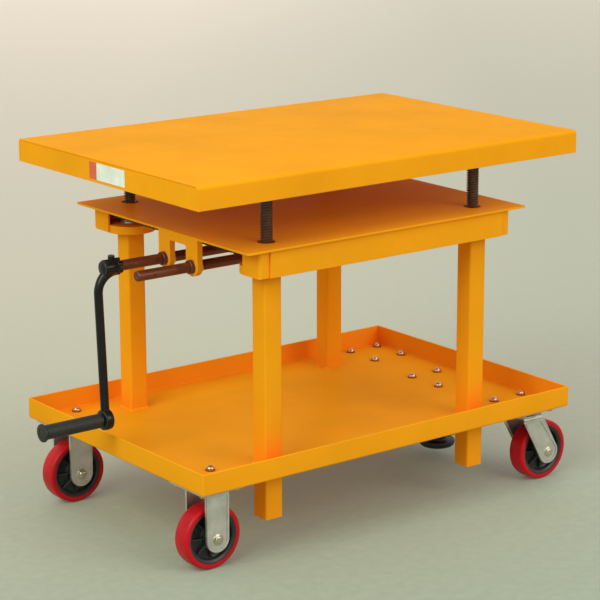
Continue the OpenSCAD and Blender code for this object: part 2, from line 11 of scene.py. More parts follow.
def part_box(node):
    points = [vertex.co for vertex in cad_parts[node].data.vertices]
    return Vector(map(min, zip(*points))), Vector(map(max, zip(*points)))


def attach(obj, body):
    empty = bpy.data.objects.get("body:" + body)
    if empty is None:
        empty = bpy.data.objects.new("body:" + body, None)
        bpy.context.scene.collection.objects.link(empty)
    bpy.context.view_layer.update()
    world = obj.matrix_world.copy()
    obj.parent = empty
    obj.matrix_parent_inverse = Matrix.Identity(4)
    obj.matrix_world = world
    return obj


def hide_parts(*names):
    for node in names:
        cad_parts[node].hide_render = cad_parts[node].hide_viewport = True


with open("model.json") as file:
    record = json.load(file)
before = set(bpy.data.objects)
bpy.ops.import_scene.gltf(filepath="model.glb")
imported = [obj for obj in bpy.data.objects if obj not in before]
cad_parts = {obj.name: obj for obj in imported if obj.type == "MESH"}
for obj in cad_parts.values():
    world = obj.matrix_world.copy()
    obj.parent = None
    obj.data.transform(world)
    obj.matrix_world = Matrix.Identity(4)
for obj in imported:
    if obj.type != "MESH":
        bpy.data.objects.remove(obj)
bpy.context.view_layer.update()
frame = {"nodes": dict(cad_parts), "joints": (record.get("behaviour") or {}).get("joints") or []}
NODES = frame["nodes"]

MM = 0.001
TAU = 2 * math.pi


# ---- frame measures


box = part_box


def centre(node):
    low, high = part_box(node)
    return (low + high) / 2


PLATFORM_LOW, PLATFORM_HIGH = box("platform")
TRAY_LOW, TRAY_HIGH = box("tray")
DECK_LOW, DECK_HIGH = box("deck_plate")
RAIL_LOW, RAIL_HIGH = box("side_rails")
GUARD_LOW, GUARD_HIGH = box("corner_guards")
POST_LOW, POST_HIGH = box("posts")
MID_X = (POST_LOW.x + POST_HIGH.x) / 2
CORNERS = {
    "front_left": centre("screw_front_left"),
    "front_right": centre("screw_front_right"),
    "rear_left": centre("screw_rear_left"),
    "rear_right": centre("screw_rear_right"),
}
POST_W = 2 * (POST_HIGH.x - CORNERS["front_right"].x)
SHEET = 3 * MM
PLATE = 4 * MM
DECK_HOLE_R = 17 * MM
DISC_R = 50 * MM
DISC_HOLE_R = 13.5 * MM
BRACKET_T = (box("end_bracket")[1] - box("end_bracket")[0]).x
BOLT_DX, BOLT_DY = 37.5 * MM, 42 * MM


# ---- materials


class Shader:
    """A node material under construction: a Principled shader and the nodes that feed it."""

    def __init__(self, name):
        self.material = bpy.data.materials.new(name)
        self.material.use_nodes = True
        self.tree = self.material.node_tree
        self.principled = self.tree.nodes["Principled BSDF"]
        self.coords = self.tree.nodes.new("ShaderNodeTexCoord").outputs["Object"]

    def node(self, kind, **inputs):
        made = self.tree.nodes.new(kind)
        for key, value in inputs.items():
            target = made.inputs[key.replace("_", " ")]
            if isinstance(value, bpy.types.NodeSocket):
                self.tree.links.new(value, target)
            else:
                target.default_value = value
        return made

    def link(self, source, target):
        self.tree.links.new(source, target)

    def noise(self, scale, detail=4.0, stretch=(1, 1, 1), roughness=0.55):
        mapped = self.node("ShaderNodeMapping", Vector=self.coords, Scale=stretch)
        made = self.node("ShaderNodeTexNoise", Vector=mapped.outputs["Vector"], Scale=scale,
                         Detail=detail, Roughness=roughness)
        return made.outputs["Fac"]

    def ramp(self, fac, *stops):
        made = self.tree.nodes.new("ShaderNodeValToRGB")
        elements = made.color_ramp.elements
        while len(elements) < len(stops):
            elements.new(0.5)
        for element, (position, colour) in zip(elements, stops):
            element.position = position
            element.color = (*colour, 1) if len(colour) == 3 else colour
        self.link(fac, made.inputs["Fac"])
        return made.outputs["Color"]

    def spread(self, fac, low, high, to_low, to_high):
        made = self.node("ShaderNodeMapRange", Value=fac, From_Min=low, From_Max=high,
                         To_Min=to_low, To_Max=to_high)
        return made.outputs["Result"]

    def mix(self, fac, a, b):
        made = self.tree.nodes.new("ShaderNodeMix")
        made.data_type = "RGBA"
        for socket, value in ((made.inputs[0], fac), (made.inputs[6], a), (made.inputs[7], b)):
            if isinstance(value, bpy.types.NodeSocket):
                self.link(value, socket)
            elif isinstance(value, (tuple, list)):
                socket.default_value = (*value, 1)
            else:
                socket.default_value = value
        return made.outputs[2]

    def bump(self, *layers):
        """layers are (height, strength, distance in metres), each over the one before."""
        normal = None
        for height, strength, distance in layers:
            made = self.node("ShaderNodeBump", Height=height, Strength=strength, Distance=distance)
            if normal is not None:
                self.link(normal, made.inputs["Normal"])
            normal = made.outputs["Normal"]
        self.link(normal, self.principled.inputs["Normal"])

    def set(self, **values):
        for key, value in values.items():
            self.principled.inputs[key.replace("_", " ")].default_value = value

    def feed(self, socket, source):
        self.link(source, self.principled.inputs[socket])


def shade(colour, factor):
    return tuple(min(1.0, c * factor) for c in colour)


def powder_coat(name, colour, lift=1.0):
    """Semi-gloss powder coat: orange peel, faint cloudiness, rubbed spots and painted shade, a deeper,
    redder tone in sheltered corners.
    """
    s = Shader(name)
    cloud = s.noise(5, 5)
    flecks = s.noise(900, 2)
    peel = s.noise(420, 3)
    rub = s.noise(38, 6, roughness=0.7)
    base = s.ramp(cloud, (0.3, shade(colour, 0.93 * lift)), (0.7, shade(colour, 1.05 * lift)))
    worn = s.mix(s.spread(rub, 0.62, 0.8, 0, 0.35), base, shade(colour, 0.8 * lift))
    fleck = s.mix(s.spread(flecks, 0.66, 0.72, 0, 0.25), worn, shade(colour, 1.25 * lift))
    # painted shade: ambient occlusion turns the base colour deeper and redder in sheltered corners and gaps
    painted_shade_ao = s.node("ShaderNodeAmbientOcclusion", Distance=0.14)
    painted_shade_ao.samples = 4
    painted_shade_red = (min(1.0, colour[0] * 1.14), colour[1] * 0.46, colour[2] * 1.3)
    s.feed("Base Color", s.mix(s.spread(painted_shade_ao.outputs["AO"], 0.25, 0.8, 0.6, 0), fleck, painted_shade_red))
    s.feed("Roughness", s.spread(rub, 0.3, 0.75, 0.36, 0.52))
    s.bump((peel, 0.22, 0.0004), (cloud, 0.10, 0.002))
    s.set(IOR=1.04)
    return s.material


def plated_steel(name, colour, rough=(0.28, 0.46), grain=(1, 1, 14)):
    """Zinc plated pressed steel: drawing lines, dull passivated patches."""
    s = Shader(name)
    lines = s.noise(160, 4, stretch=grain)
    cloud = s.noise(30, 6)
    pits = s.noise(700, 2)
    base = s.ramp(cloud, (0.32, shade(colour, 0.78)), (0.6, colour), (0.8, shade(colour, 1.1)))
    s.feed("Base Color", s.mix(s.spread(lines, 0.35, 0.7, 0, 0.4), base, shade(colour, 0.86)))
    s.feed("Roughness", s.spread(cloud, 0.3, 0.7, rough[0], rough[1]))
    s.bump((lines, 0.12, 0.0004), (pits, 0.10, 0.0002))
    s.set(Metallic=0.9)
    return s.material


def oiled_steel(name, colour, stain, metallic=0.75, grain=(1, 1, 1), rough=(0.25, 0.5)):
    """Dark oiled steel with brown stains where the oil has gathered dust."""
    s = Shader(name)
    cloud = s.noise(55, 6, roughness=0.65)
    lines = s.noise(260, 3, stretch=grain)
    base = s.ramp(cloud, (0.35, colour), (0.62, stain), (0.8, shade(colour, 1.6)))
    s.feed("Base Color", s.mix(s.spread(lines, 0.4, 0.7, 0, 0.5), base, shade(colour, 0.6)))
    s.feed("Roughness", s.spread(cloud, 0.3, 0.75, rough[0], rough[1]))
    s.bump((lines, 0.15, 0.0003), (cloud, 0.12, 0.0006))
    s.set(Metallic=metallic)
    return s.material


def satin_black(name, colour=(0.005, 0.005, 0.005), rough=(0.17, 0.3), bare=(0.03, 0.028, 0.025)):
    """Black paint on a casting: a soft skin, small runs and a few rubbed places."""
    s = Shader(name)
    skin = s.noise(220, 4)
    cloud = s.noise(25, 5)
    rub = s.noise(90, 6, roughness=0.7)
    base = s.ramp(cloud, (0.3, colour), (0.75, shade(colour, 2.2)))
    s.feed("Base Color", s.mix(s.spread(rub, 0.68, 0.76, 0, 0.5), base, bare))
    s.feed("Roughness", s.spread(rub, 0.3, 0.75, rough[0], rough[1]))
    s.bump((skin, 0.2, 0.0004), (cloud, 0.2, 0.002))
    s.set(Specular_IOR_Level=0.25)
    return s.material


def moulded(name, colour, rough, grain_scale=900, strength=0.25, coat=0.0, dust=(0.10, 0.09, 0.08)):
    """Moulded plastic or rubber with a fine grain and a breath of dust."""
    s = Shader(name)
    grain = s.noise(grain_scale, 2)
    cloud = s.noise(30, 5)
    dirt = s.noise(70, 6, roughness=0.7)
    base = s.ramp(cloud, (0.3, shade(colour, 0.85)), (0.7, shade(colour, 1.15)))
    s.feed("Base Color", s.mix(s.spread(dirt, 0.55, 0.85, 0, 0.35), base, dust))
    s.feed("Roughness", s.spread(dirt, 0.3, 0.75, rough[0], rough[1]))
    s.bump((grain, strength, 0.0003), (cloud, 0.1, 0.001))
    s.set(Coat_Weight=coat, Coat_Roughness=0.25)
    return s.material


def polyurethane(name, colour):
    """Cast polyurethane tyre: semi-gloss, with faint scuffs round the tread."""
    s = Shader(name)
    cloud = s.noise(24, 4)
    scuff = s.noise(120, 6, stretch=(1, 5, 1), roughness=0.7)
    base = s.ramp(cloud, (0.3, shade(colour, 0.8)), (0.7, shade(colour, 1.12)))
    s.feed("Base Color", s.mix(s.spread(scuff, 0.6, 0.85, 0, 0.3), base, shade(colour, 0.6)))
    s.feed("Roughness", s.spread(scuff, 0.3, 0.75, 0.3, 0.5))
    s.bump((scuff, 0.12, 0.0004), (cloud, 0.08, 0.002))
    s.set(Specular_IOR_Level=0.22, Coat_Weight=0.05, Coat_Roughness=0.2)
    return s.material


ORANGE = (0.87, 0.330, 0.010)
PAINT = powder_coat("orange_powder_coat", ORANGE)
# painted highlight: the edge copies in this block are lighter copies of their finishes, which the bevelled
# edges take; the zinc copy is darker instead
PAINT_EDGE_HIGHLIGHT = powder_coat("orange_powder_coat_painted_edge_highlight", ORANGE, lift=1.12)
ZINC = plated_steel("zinc_plate", (0.72, 0.68, 0.65))
# painted shade: a darker copy of the zinc for the bevelled edges
ZINC_EDGE_SHADE = plated_steel("zinc_plate_painted_edge_shade", (0.50, 0.47, 0.44), rough=(0.3, 0.44))
# painted reflection: the bolts' zinc plating is tinted copper for the orange paint round them
ZINC_PAINTED_REFLECTION = plated_steel("zinc_painted_orange_reflection", (0.68, 0.42, 0.26), rough=(0.2, 0.34), grain=(1, 1, 1))
BRIGHT = plated_steel("bright_nickel", (0.62, 0.56, 0.48), rough=(0.12, 0.24), grain=(1, 1, 1))
BRIGHT_EDGE_HIGHLIGHT = plated_steel("bright_nickel_painted_edge_highlight", (0.78, 0.72, 0.64), rough=(0.1, 0.2), grain=(1, 1, 1))
OIL = oiled_steel("oiled_steel", (0.035, 0.028, 0.024), (0.09, 0.045, 0.028))
OIL_EDGE_HIGHLIGHT = oiled_steel("oiled_steel_painted_edge_highlight", (0.16, 0.12, 0.10), (0.14, 0.08, 0.05))
BROWN = oiled_steel("brown_shaft", (0.13, 0.030, 0.014), (0.18, 0.050, 0.024), 0.4, (14, 1, 1), (0.3, 0.5))
SCREW = oiled_steel("screw_steel", (0.085, 0.048, 0.032), (0.15, 0.075, 0.042), 0.5, (1, 1, 1), (0.3, 0.46))
BROWN_EDGE_HIGHLIGHT = oiled_steel("brown_shaft_painted_edge_highlight", (0.14, 0.045, 0.025), (0.18, 0.060, 0.034), 0.4, (14, 1, 1))
BLACK = satin_black("black_enamel")
BLACK_EDGE_HIGHLIGHT = satin_black("black_enamel_painted_edge_highlight", (0.03, 0.03, 0.03))
PLASTIC = moulded("black_nylon", (0.016, 0.016, 0.017), (0.35, 0.55))
PLASTIC_EDGE_HIGHLIGHT = moulded("black_nylon_painted_edge_highlight", (0.035, 0.034, 0.034), (0.35, 0.5))
RUBBER = moulded("black_rubber", (0.012, 0.012, 0.011), (0.45, 0.65), 500, 0.4, dust=(0.05, 0.05, 0.045))
RUBBER_EDGE_HIGHLIGHT = moulded("black_rubber_painted_edge_highlight", (0.03, 0.03, 0.03), (0.5, 0.7), 500, 0.4)
RED = polyurethane("red_polyurethane", (0.50, 0.003, 0.009))
RED_EDGE_HIGHLIGHT = polyurethane("red_polyurethane_painted_edge_highlight", (0.50, 0.006, 0.012))
BRONZE = plated_steel("sintered_bronze", (0.62, 0.50, 0.34), (0.3, 0.5), (1, 1, 1))
BRONZE_EDGE_HIGHLIGHT = plated_steel("sintered_bronze_painted_edge_highlight", (0.74, 0.62, 0.44), (0.25, 0.4), (1, 1, 1))
LABEL = moulded("label_white", (0.80, 0.79, 0.76), (0.3, 0.42), 300, 0.06, 0.3, (0.62, 0.60, 0.56))
LABEL_RED = moulded("label_red", (0.72, 0.10, 0.025), (0.3, 0.42), 300, 0.06, 0.3, (0.5, 0.12, 0.05))

# each finish is a pair: the material, and its copy for the bevelled edges, a painted highlight, and painted
# shade for zinc
FINISH = {
    "orange_paint": (PAINT, PAINT_EDGE_HIGHLIGHT),
    "zinc_steel": (ZINC, ZINC_EDGE_SHADE),
    "oiled_steel": (OIL, OIL_EDGE_HIGHLIGHT),
    "brown_steel": (BROWN, BROWN_EDGE_HIGHLIGHT),
    "black_paint": (BLACK, BLACK_EDGE_HIGHLIGHT),
    "black_plastic": (PLASTIC, PLASTIC_EDGE_HIGHLIGHT),
    "black_rubber": (RUBBER, RUBBER_EDGE_HIGHLIGHT),
    "red_polyurethane": (RED, RED_EDGE_HIGHLIGHT),
    "sintered_bronze": (BRONZE, BRONZE_EDGE_HIGHLIGHT),
    "white_label": (LABEL, LABEL),
}


# ---- mesh tools


def arc(cx, cy, r, start, end, steps):
    """Points on an arc, angles in degrees, both ends included."""
    angles = [math.radians(start + (end - start) * i / steps) for i in range(steps + 1)]
    return [(cx + r * math.cos(a), cy + r * math.sin(a)) for a in angles]


def circle(cx, cy, r, steps=32):
    return arc(cx, cy, r, 0, 360, steps)[:-1]


def rect(low_u, low_v, high_u, high_v):
    return [(low_u, low_v), (high_u, low_v), (high_u, high_v), (low_u, high_v)]


def rounded_rect(cx, cy, w, h, r, steps=6):
    x, y = w / 2 - r, h / 2 - r
    corners = ((x, y, 0), (-x, y, 90), (-x, -y, 180), (x, -y, 270))
    return [p for dx, dy, a in corners for p in arc(cx + dx, cy + dy, r, a, a + 90, steps)]


def spot(axis, u, v, w):
    """The point at (u, v) in the plane across an axis, w along it."""
    return Vector({"x": (w, u, v), "y": (u, w, v), "z": (u, v, w)}[axis])


def slab(bm, loops, axis, low, high):
    """A plate between two heights along an axis. The first loop is its outline and the others are holes."""
    rings = []
    edges = []
    for loop in loops:
        base = [bm.verts.new(spot(axis, u, v, low)) for u, v in loop]
        top = [bm.verts.new(spot(axis, u, v, high)) for u, v in loop]
        rings.append((base, top))
        edges += [bm.edges.new(pair) for pair in zip(base, base[1:] + base[:1])]
    twin = {b: t for base, top in rings for b, t in zip(base, top)}
    if len(loops) == 1:
        floors = [bm.faces.new(rings[0][0])]
    else:
        made = bmesh.ops.triangle_fill(bm, edges=edges, use_beauty=True)["geom"]
        floors = [f for f in made if isinstance(f, bmesh.types.BMFace)]
    for face in floors:
        bm.faces.new([twin[v] for v in reversed(face.verts)])
    for base, top in rings:
        for i in range(len(base)):
            j = (i + 1) % len(base)
            bm.faces.new((base[i], base[j], top[j], top[i]))


def lathe(bm, profile, axis, at, steps=48, closed=False, side=1):
    """A turned piece: profile is (radius, distance along the axis) in mm. side=-1 turns it to face back."""
    rings = []
    for r, t in profile:
        count = steps if r else 1
        angles = [TAU * i / steps for i in range(count)]
        ring = [spot(axis, r * MM * math.cos(a), r * MM * math.sin(a), side * t * MM) for a in angles]
        rings.append([bm.verts.new(p + Vector(at)) for p in ring])
    pairs = list(zip(rings, rings[1:]))
    if closed:
        pairs.append((rings[-1], rings[0]))
    for a, b in pairs:
        for i in range(steps):
            j = (i + 1) % steps
            quad = [a[i % len(a)], a[j % len(a)], b[j % len(b)], b[i % len(b)]]
            face = list(dict.fromkeys(quad))
            if len(face) > 2:
                bm.faces.new(face)


def sweep(bm, path, section, closed=False):
    """Sweeps a closed section of (sideways, up) points along a path of (point, sideways, up)."""
    rings = [[bm.verts.new(p + s * u + t * v) for u, v in section] for p, s, t in path]
    pairs = list(zip(rings, rings[1:]))
    if closed:
        pairs.append((rings[-1], rings[0]))
    n = len(section)
    for a, b in pairs:
        for i in range(n):
            bm.faces.new((a[i], a[(i + 1) % n], b[(i + 1) % n], b[i]))
    if not closed:
        bm.faces.new(rings[0])
        bm.faces.new(list(reversed(rings[-1])))


def piece(name, bm, body, slot, replaces=(), **look):
    """Turns a mesh under construction into a shown piece that rides on a body."""
    bmesh.ops.recalc_face_normals(bm, faces=bm.faces)
    mesh = bpy.data.meshes.new(name)
    bm.to_mesh(mesh)
    bm.free()
    return show(name, mesh, body, slot, replaces, **look)


def show(name, mesh, body, slot, replaces=(), bevel=0.5, segments=2, finish=None, smooth=35):
    """Shows a mesh with a finish and softened edges. bevel is in mm, and smooth in degrees."""
    for material in finish or FINISH[slot]:
        mesh.materials.append(material)
    mesh.polygons.foreach_set("use_smooth", [True] * len(mesh.polygons))
    mesh.set_sharp_from_angle(angle=math.radians(smooth))
    made = bpy.data.objects.new(name, mesh)
    bpy.context.scene.collection.objects.link(made)
    if bevel:
        add_bevel(made, bevel, segments)
    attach(made, body)
    if replaces:
        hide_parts(*replaces)
    return made


def add_bevel(made, width, segments):
    modifier = made.modifiers.new("edge", "BEVEL")
    modifier.width = width * MM
    modifier.segments = segments
    modifier.limit_method = "ANGLE"
    modifier.angle_limit = math.radians(34)
    modifier.harden_normals = True
    # the bevelled faces take the second material, the edge copy: lighter as a painted highlight, darker as
    # painted shade for zinc
    modifier.material = 1


def refine(node, slot, bevel=0.4):
    """Keeps a CAD node's shape and gives it a finish and softened edges."""
    made = NODES[node]
    made.data.materials.clear()
    for material in FINISH[slot]:
        made.data.materials.append(material)
    if bevel:
        weld = made.modifiers.new("weld", "WELD")
        weld.merge_threshold = 0.01 * MM
        add_bevel(made, bevel, 2)


JOINT_AT = {j["child"]: Vector(j["pos_m"]) for j in frame["joints"] if j["type"] == "hinge"}


# ---- platform


def platform_section(inset, r, steps=8):
    """Half of the folded sheet's end view, at an inset from its outside."""
    y = PLATFORM_HIGH.y - inset
    z = PLATFORM_HIGH.z - inset
    return [(y, PLATFORM_LOW.z)] + arc(y - r, z - r, r, 0, 90, steps)


def build_platform():
    bend = 8 * MM
    outer = platform_section(0, bend)
    inner = platform_section(SHEET, bend - SHEET)
    left = [(-u, v) for u, v in reversed(outer)]
    left_in = [(-u, v) for u, v in inner]
    loop = outer + left + left_in + list(reversed(inner))
    bm = bmesh.new()
    slab(bm, [loop], "x", PLATFORM_LOW.x, PLATFORM_HIGH.x)
    seam = 0.8 * MM
    half = SHEET / 2
    foot = PLATFORM_LOW.z
    top = PLATFORM_HIGH.z - SHEET
    side = PLATFORM_HIGH.y - SHEET
    for end, inward in ((PLATFORM_LOW.x, 1), (PLATFORM_HIGH.x, -1)):
        face, step, back = (end + inward * d for d in (0.2 * MM, half, SHEET))
        for a, b, gap in ((face, step, seam), (step, back, 0.05 * MM)):
            y, z = side - gap, top - gap
            slab(bm, [rect(-y, foot, y, z)], "x", min(a, b), max(a, b))
    piece("platform_sheet", bm, "lift", "orange_paint", ["platform"], bevel=0.45)


def build_label():
    """A blank two-part sticker: a red block beside a white field."""
    low, high = box("blank_label")
    mid_z = (low.z + high.z) / 2
    height = high.z - low.z
    split = high.y - 0.21 * (high.y - low.y)
    for name, a, b, finish in (
        ("label_field", low.y, split, LABEL),
        ("label_block", split, high.y, LABEL_RED),
    ):
        bm = bmesh.new()
        outline = rounded_rect((a + b) / 2, mid_z, b - a, height, 1.2 * MM, 4)
        slab(bm, [outline], "x", low.x, high.x)
        made = piece(name, bm, "lift", "white_label", [], bevel=0, finish=(finish, finish))
        if name == "label_field":
            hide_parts("blank_label")


# ---- screws


THREAD_PITCH = 5 * MM


def thread(bm, at, low, high, crest, root):
    """A trapezoidal thread: a core, and a ridge that runs out to nothing at both ends."""
    r, length = root / MM, (high - low) / MM
    lathe(bm, [(0, 0), (r - 1.5, 0), (r, 1.5), (r, length), (0, length)], "z", (at.x, at.y, low), 32)
    steps = 24
    margin = 2.2 * MM
    turns = (high - low - 2 * margin) / THREAD_PITCH
    count = int(turns * steps)
    rings = []
    for i in range(count + 1):
        a = TAU * i / steps
        fade = min(1.0, i / steps * 1.5, (count - i) / steps * 1.5)
        z = low + margin + THREAD_PITCH * i / steps
        tip = root - 0.2 * MM + (crest - root + 0.2 * MM) * fade
        out = Vector((math.cos(a), math.sin(a), 0))
        ring = []
        for r, dz in ((root - 0.3 * MM, -1.85), (tip, -0.95), (tip, 0.95), (root - 0.3 * MM, 1.85)):
            ring.append(bm.verts.new(Vector((at.x, at.y, z + dz * MM)) + out * r))
        rings.append(ring)
    for a, b in zip(rings, rings[1:]):
        for i in range(4):
            bm.faces.new((a[i], a[(i + 1) % 4], b[(i + 1) % 4], b[i]))
    bm.faces.new(rings[0])
    bm.faces.new(list(reversed(rings[-1])))


def build_screws():
    for corner in CORNERS:
        node = "screw_" + corner
        low, high = box(node)
        bm = bmesh.new()
        r = (high.x - low.x) / 2
        thread(bm, centre(node), low.z, high.z, r, r - 2.6 * MM)
        piece("thread_" + corner, bm, "lift", "oiled_steel", [node], bevel=0, finish=(SCREW, SCREW))


# ---- deck and frame


def build_deck():
    bm = bmesh.new()
    outline = rounded_rect(
        (DECK_LOW.x + DECK_HIGH.x) / 2, 0, DECK_HIGH.x - DECK_LOW.x, DECK_HIGH.y - DECK_LOW.y, 3 * MM, 3
    )
    holes = [circle(c.x, c.y, DECK_HOLE_R, 40) for c in CORNERS.values()]
    slab(bm, [outline] + holes, "z", DECK_LOW.z, DECK_HIGH.z)
    piece("deck_sheet", bm, "frame", "orange_paint", ["deck_plate"], bevel=0.6)


def bead_ripple(s):
    """Height and spread of a weld bead at a distance s along it, in metres."""
    return 1 + 0.16 * math.sin(TAU * s / (2.6 * MM)) + 0.10 * math.sin(TAU * s / (17 * MM))


def weld_round(bm, x, y, z, up, w, size):
    """A rippled bead round a square post, in the corner between the post and a plate at height z."""
    outline = rounded_rect(x, y, w, w, 4 * MM, 4)
    points = []
    for (ax, ay), (bx, by) in zip(outline, outline[1:] + outline[:1]):
        length = math.hypot(bx - ax, by - ay)
        n = max(1, round(length / (0.9 * MM)))
        points += [(ax + (bx - ax) * i / n, ay + (by - ay) * i / n) for i in range(n)]
    path = []
    s = 0.0
    n = len(points)
    for i, (px, py) in enumerate(points):
        qx, qy = points[(i + 1) % n]
        ox, oy = points[i - 1]
        t = Vector((qx - ox, qy - oy, 0)).normalized()
        grow = bead_ripple(s)
        path.append((Vector((px, py, z)), Vector((t.y, -t.x, 0)) * grow, Vector((0, 0, up)) * grow))
        s += math.hypot(qx - px, qy - py)
    section = [(-0.6, -0.3), (1.0, -0.3), (0.86, 0.22), (0.55, 0.52), (0.22, 0.84), (-0.6, 1.0)]
    sweep(bm, path, [(u * size, v * size) for u, v in section], closed=True)


def build_posts():
    bm = bmesh.new()
    welds = bmesh.new()
    floor = TRAY_LOW.z + SHEET
    for c in CORNERS.values():
        outer = rounded_rect(c.x, c.y, POST_W, POST_W, 4 * MM, 5)
        inner = rounded_rect(c.x, c.y, POST_W - 2 * SHEET, POST_W - 2 * SHEET, 1.5 * MM, 3)
        slab(bm, [outer, inner], "z", POST_LOW.z, POST_HIGH.z)
        weld_round(welds, c.x, c.y, floor, 1, POST_W, 4.2 * MM)
        weld_round(welds, c.x, c.y, TRAY_LOW.z, -1, POST_W, 3.6 * MM)
        weld_round(welds, c.x, c.y, POST_HIGH.z, -1, POST_W, 4.0 * MM)
    piece("post_tubes", bm, "frame", "orange_paint", ["posts"], bevel=0.5)
    piece("post_welds", welds, "frame", "orange_paint", bevel=0, finish=(PAINT, PAINT), smooth=60)


def build_rails():
    """Each rail is a web with a lip turned in along its middle."""
    bm = bmesh.new()
    lip_half = 200 * MM
    for s in (-1, 1):
        face = s * RAIL_HIGH.y
        back = face - s * PLATE
        web = rect(RAIL_LOW.x, RAIL_LOW.z, RAIL_HIGH.x, RAIL_HIGH.z)
        slab(bm, [web], "y", min(face, back), max(face, back))
        near, far = sorted((back, back - s * 18 * MM))
        lip = rect(near, RAIL_LOW.z, far, RAIL_LOW.z + PLATE)
        slab(bm, [lip], "x", MID_X - lip_half, MID_X + lip_half)
    piece("rail_plates", bm, "frame", "orange_paint", ["side_rails"], bevel=0.7)


def guard_line(inset):
    """Plan of a corner guard at an inset from its outside, from behind the rail round to its free end."""
    bend = 6 * MM
    x, y = GUARD_HIGH.x - inset, GUARD_HIGH.y - inset
    corner = arc(GUARD_HIGH.x - bend, GUARD_HIGH.y - bend, bend - inset, 90, 0, 5)
    return [(RAIL_HIGH.x - 13.5 * MM, y)] + corner + [(x, POST_HIGH.y - POST_W / 2 - 5 * MM)]


def mirrored(points, sx, sy):
    """Mirrors plan points about the middle of the table."""
    return [(MID_X + sx * (x - MID_X), sy * y) for x, y in points]


def build_guards():
    """Bent strips, rounded off below: the front ones at the free end, and the rear ones at the bend."""
    strips = bmesh.new()
    views = bmesh.new()
    outline = guard_line(0) + list(reversed(guard_line(PLATE)))
    free = POST_HIGH.y - POST_W / 2 - 1.5 * MM
    low, high = GUARD_LOW.z, GUARD_HIGH.z
    edge, far = GUARD_HIGH.y, GUARD_HIGH.y + 5 * MM
    above = high + 1 * MM
    for sy, r_free, r_bend in ((-1, 18 * MM, 1 * MM), (1, 2 * MM, 12 * MM)):
        view = arc(edge - r_bend, low + r_bend, r_bend, 270, 360, 8)
        view += [(far, low + r_bend), (far, above), (free, above)]
        view += arc(free + r_free, low + r_free, r_free, 180, 270, 10)
        slab(views, [[(sy * u, v) for u, v in view]], "x", GUARD_LOW.x - 5 * MM, GUARD_HIGH.x + 5 * MM)
        for sx in (-1, 1):
            slab(strips, [mirrored(outline, sx, sy)], "z", low, high)
    mesh = intersected(strips, views, "guard_strips")
    show("guard_strips", mesh, "frame", "orange_paint", ["corner_guards"], bevel=0.7)


def build_bearing_plates():
    """A thick disc under each nut, cut flat where it meets the corner guard round it."""
    low, high = box("bearing_plates")
    post = CORNERS["rear_right"]
    edge_x, edge_y = GUARD_HIGH.x - PLATE, GUARD_HIGH.y - PLATE
    rim = [(min(u, edge_x), min(v, edge_y)) for u, v in circle(post.x, post.y, DISC_R, 90)]
    rim = list(dict.fromkeys(rim))
    bm = bmesh.new()
    for sx in (-1, 1):
        for sy in (-1, 1):
            x, y = MID_X + sx * (post.x - MID_X), sy * post.y
            slab(bm, [mirrored(rim, sx, sy), circle(x, y, DISC_HOLE_R, 40)], "z", low.z, high.z)
    piece("bearing_discs", bm, "frame", "orange_paint", ["bearing_plates"], bevel=0.8)


def bracket_outline(fast_y, slow_y, shaft_z, top, r, strip):
    """Side view of a hanging bracket: a strip with a round-ended leg for each shaft."""
    points = [(fast_y + r, top)]
    points += arc(fast_y, shaft_z, r, 0, -180, 16)
    points += arc(fast_y - r - strip * 0.35, top - strip - strip * 0.35, strip * 0.35, 0, 90, 5)
    points += arc(slow_y + r + strip * 0.35, top - strip - strip * 0.35, strip * 0.35, 90, 180, 5)
    points += arc(slow_y, shaft_z, r, 0, -180, 16)
    points += [(slow_y - r, top)]
    return points


def build_brackets():
    fast = JOINT_AT["fast_shaft"]
    slow = JOINT_AT["slow_shaft"]
    r = 18.5 * MM
    strip = 15 * MM
    for node, name in (("end_bracket", "end_hanger"), ("inner_brackets", "inner_hangers")):
        low, high = box(node)
        bm = bmesh.new()
        outline = bracket_outline(fast.y, slow.y, fast.z, high.z, r, strip)
        holes = [circle(p.y, p.z, 14 * MM, 36) for p in (fast, slow)]
        for a in {low.x, high.x - BRACKET_T}:
            slab(bm, [outline] + holes, "x", a, a + BRACKET_T)
        piece(name, bm, "frame", "orange_paint", [node], bevel=1.0, segments=3)


def build_bushings():
    """Flanged bronze bush in each bracket leg."""
    fast = JOINT_AT["fast_shaft"]
    slow = JOINT_AT["slow_shaft"]
    inner_low, inner_high = box("inner_brackets")
    w = BRACKET_T / MM
    profile = [(10.85, -0.4), (14, -0.4), (14, w), (15.5, w), (15.5, w + 3), (14, w + 3), (14, w + 5)]
    profile += [(10.85, w + 5), (10.05, w + 4.2), (10.05, 0.8)]
    bm = bmesh.new()
    for x in (box("end_bracket")[0].x, inner_low.x, inner_high.x - BRACKET_T):
        for p in (fast, slow):
            lathe(bm, profile, "x", (x, p.y, p.z), 40, closed=True)
    piece("bronze_bushes", bm, "frame", "sintered_bronze", ["shaft_bushings"], bevel=0.4)


# ---- tray


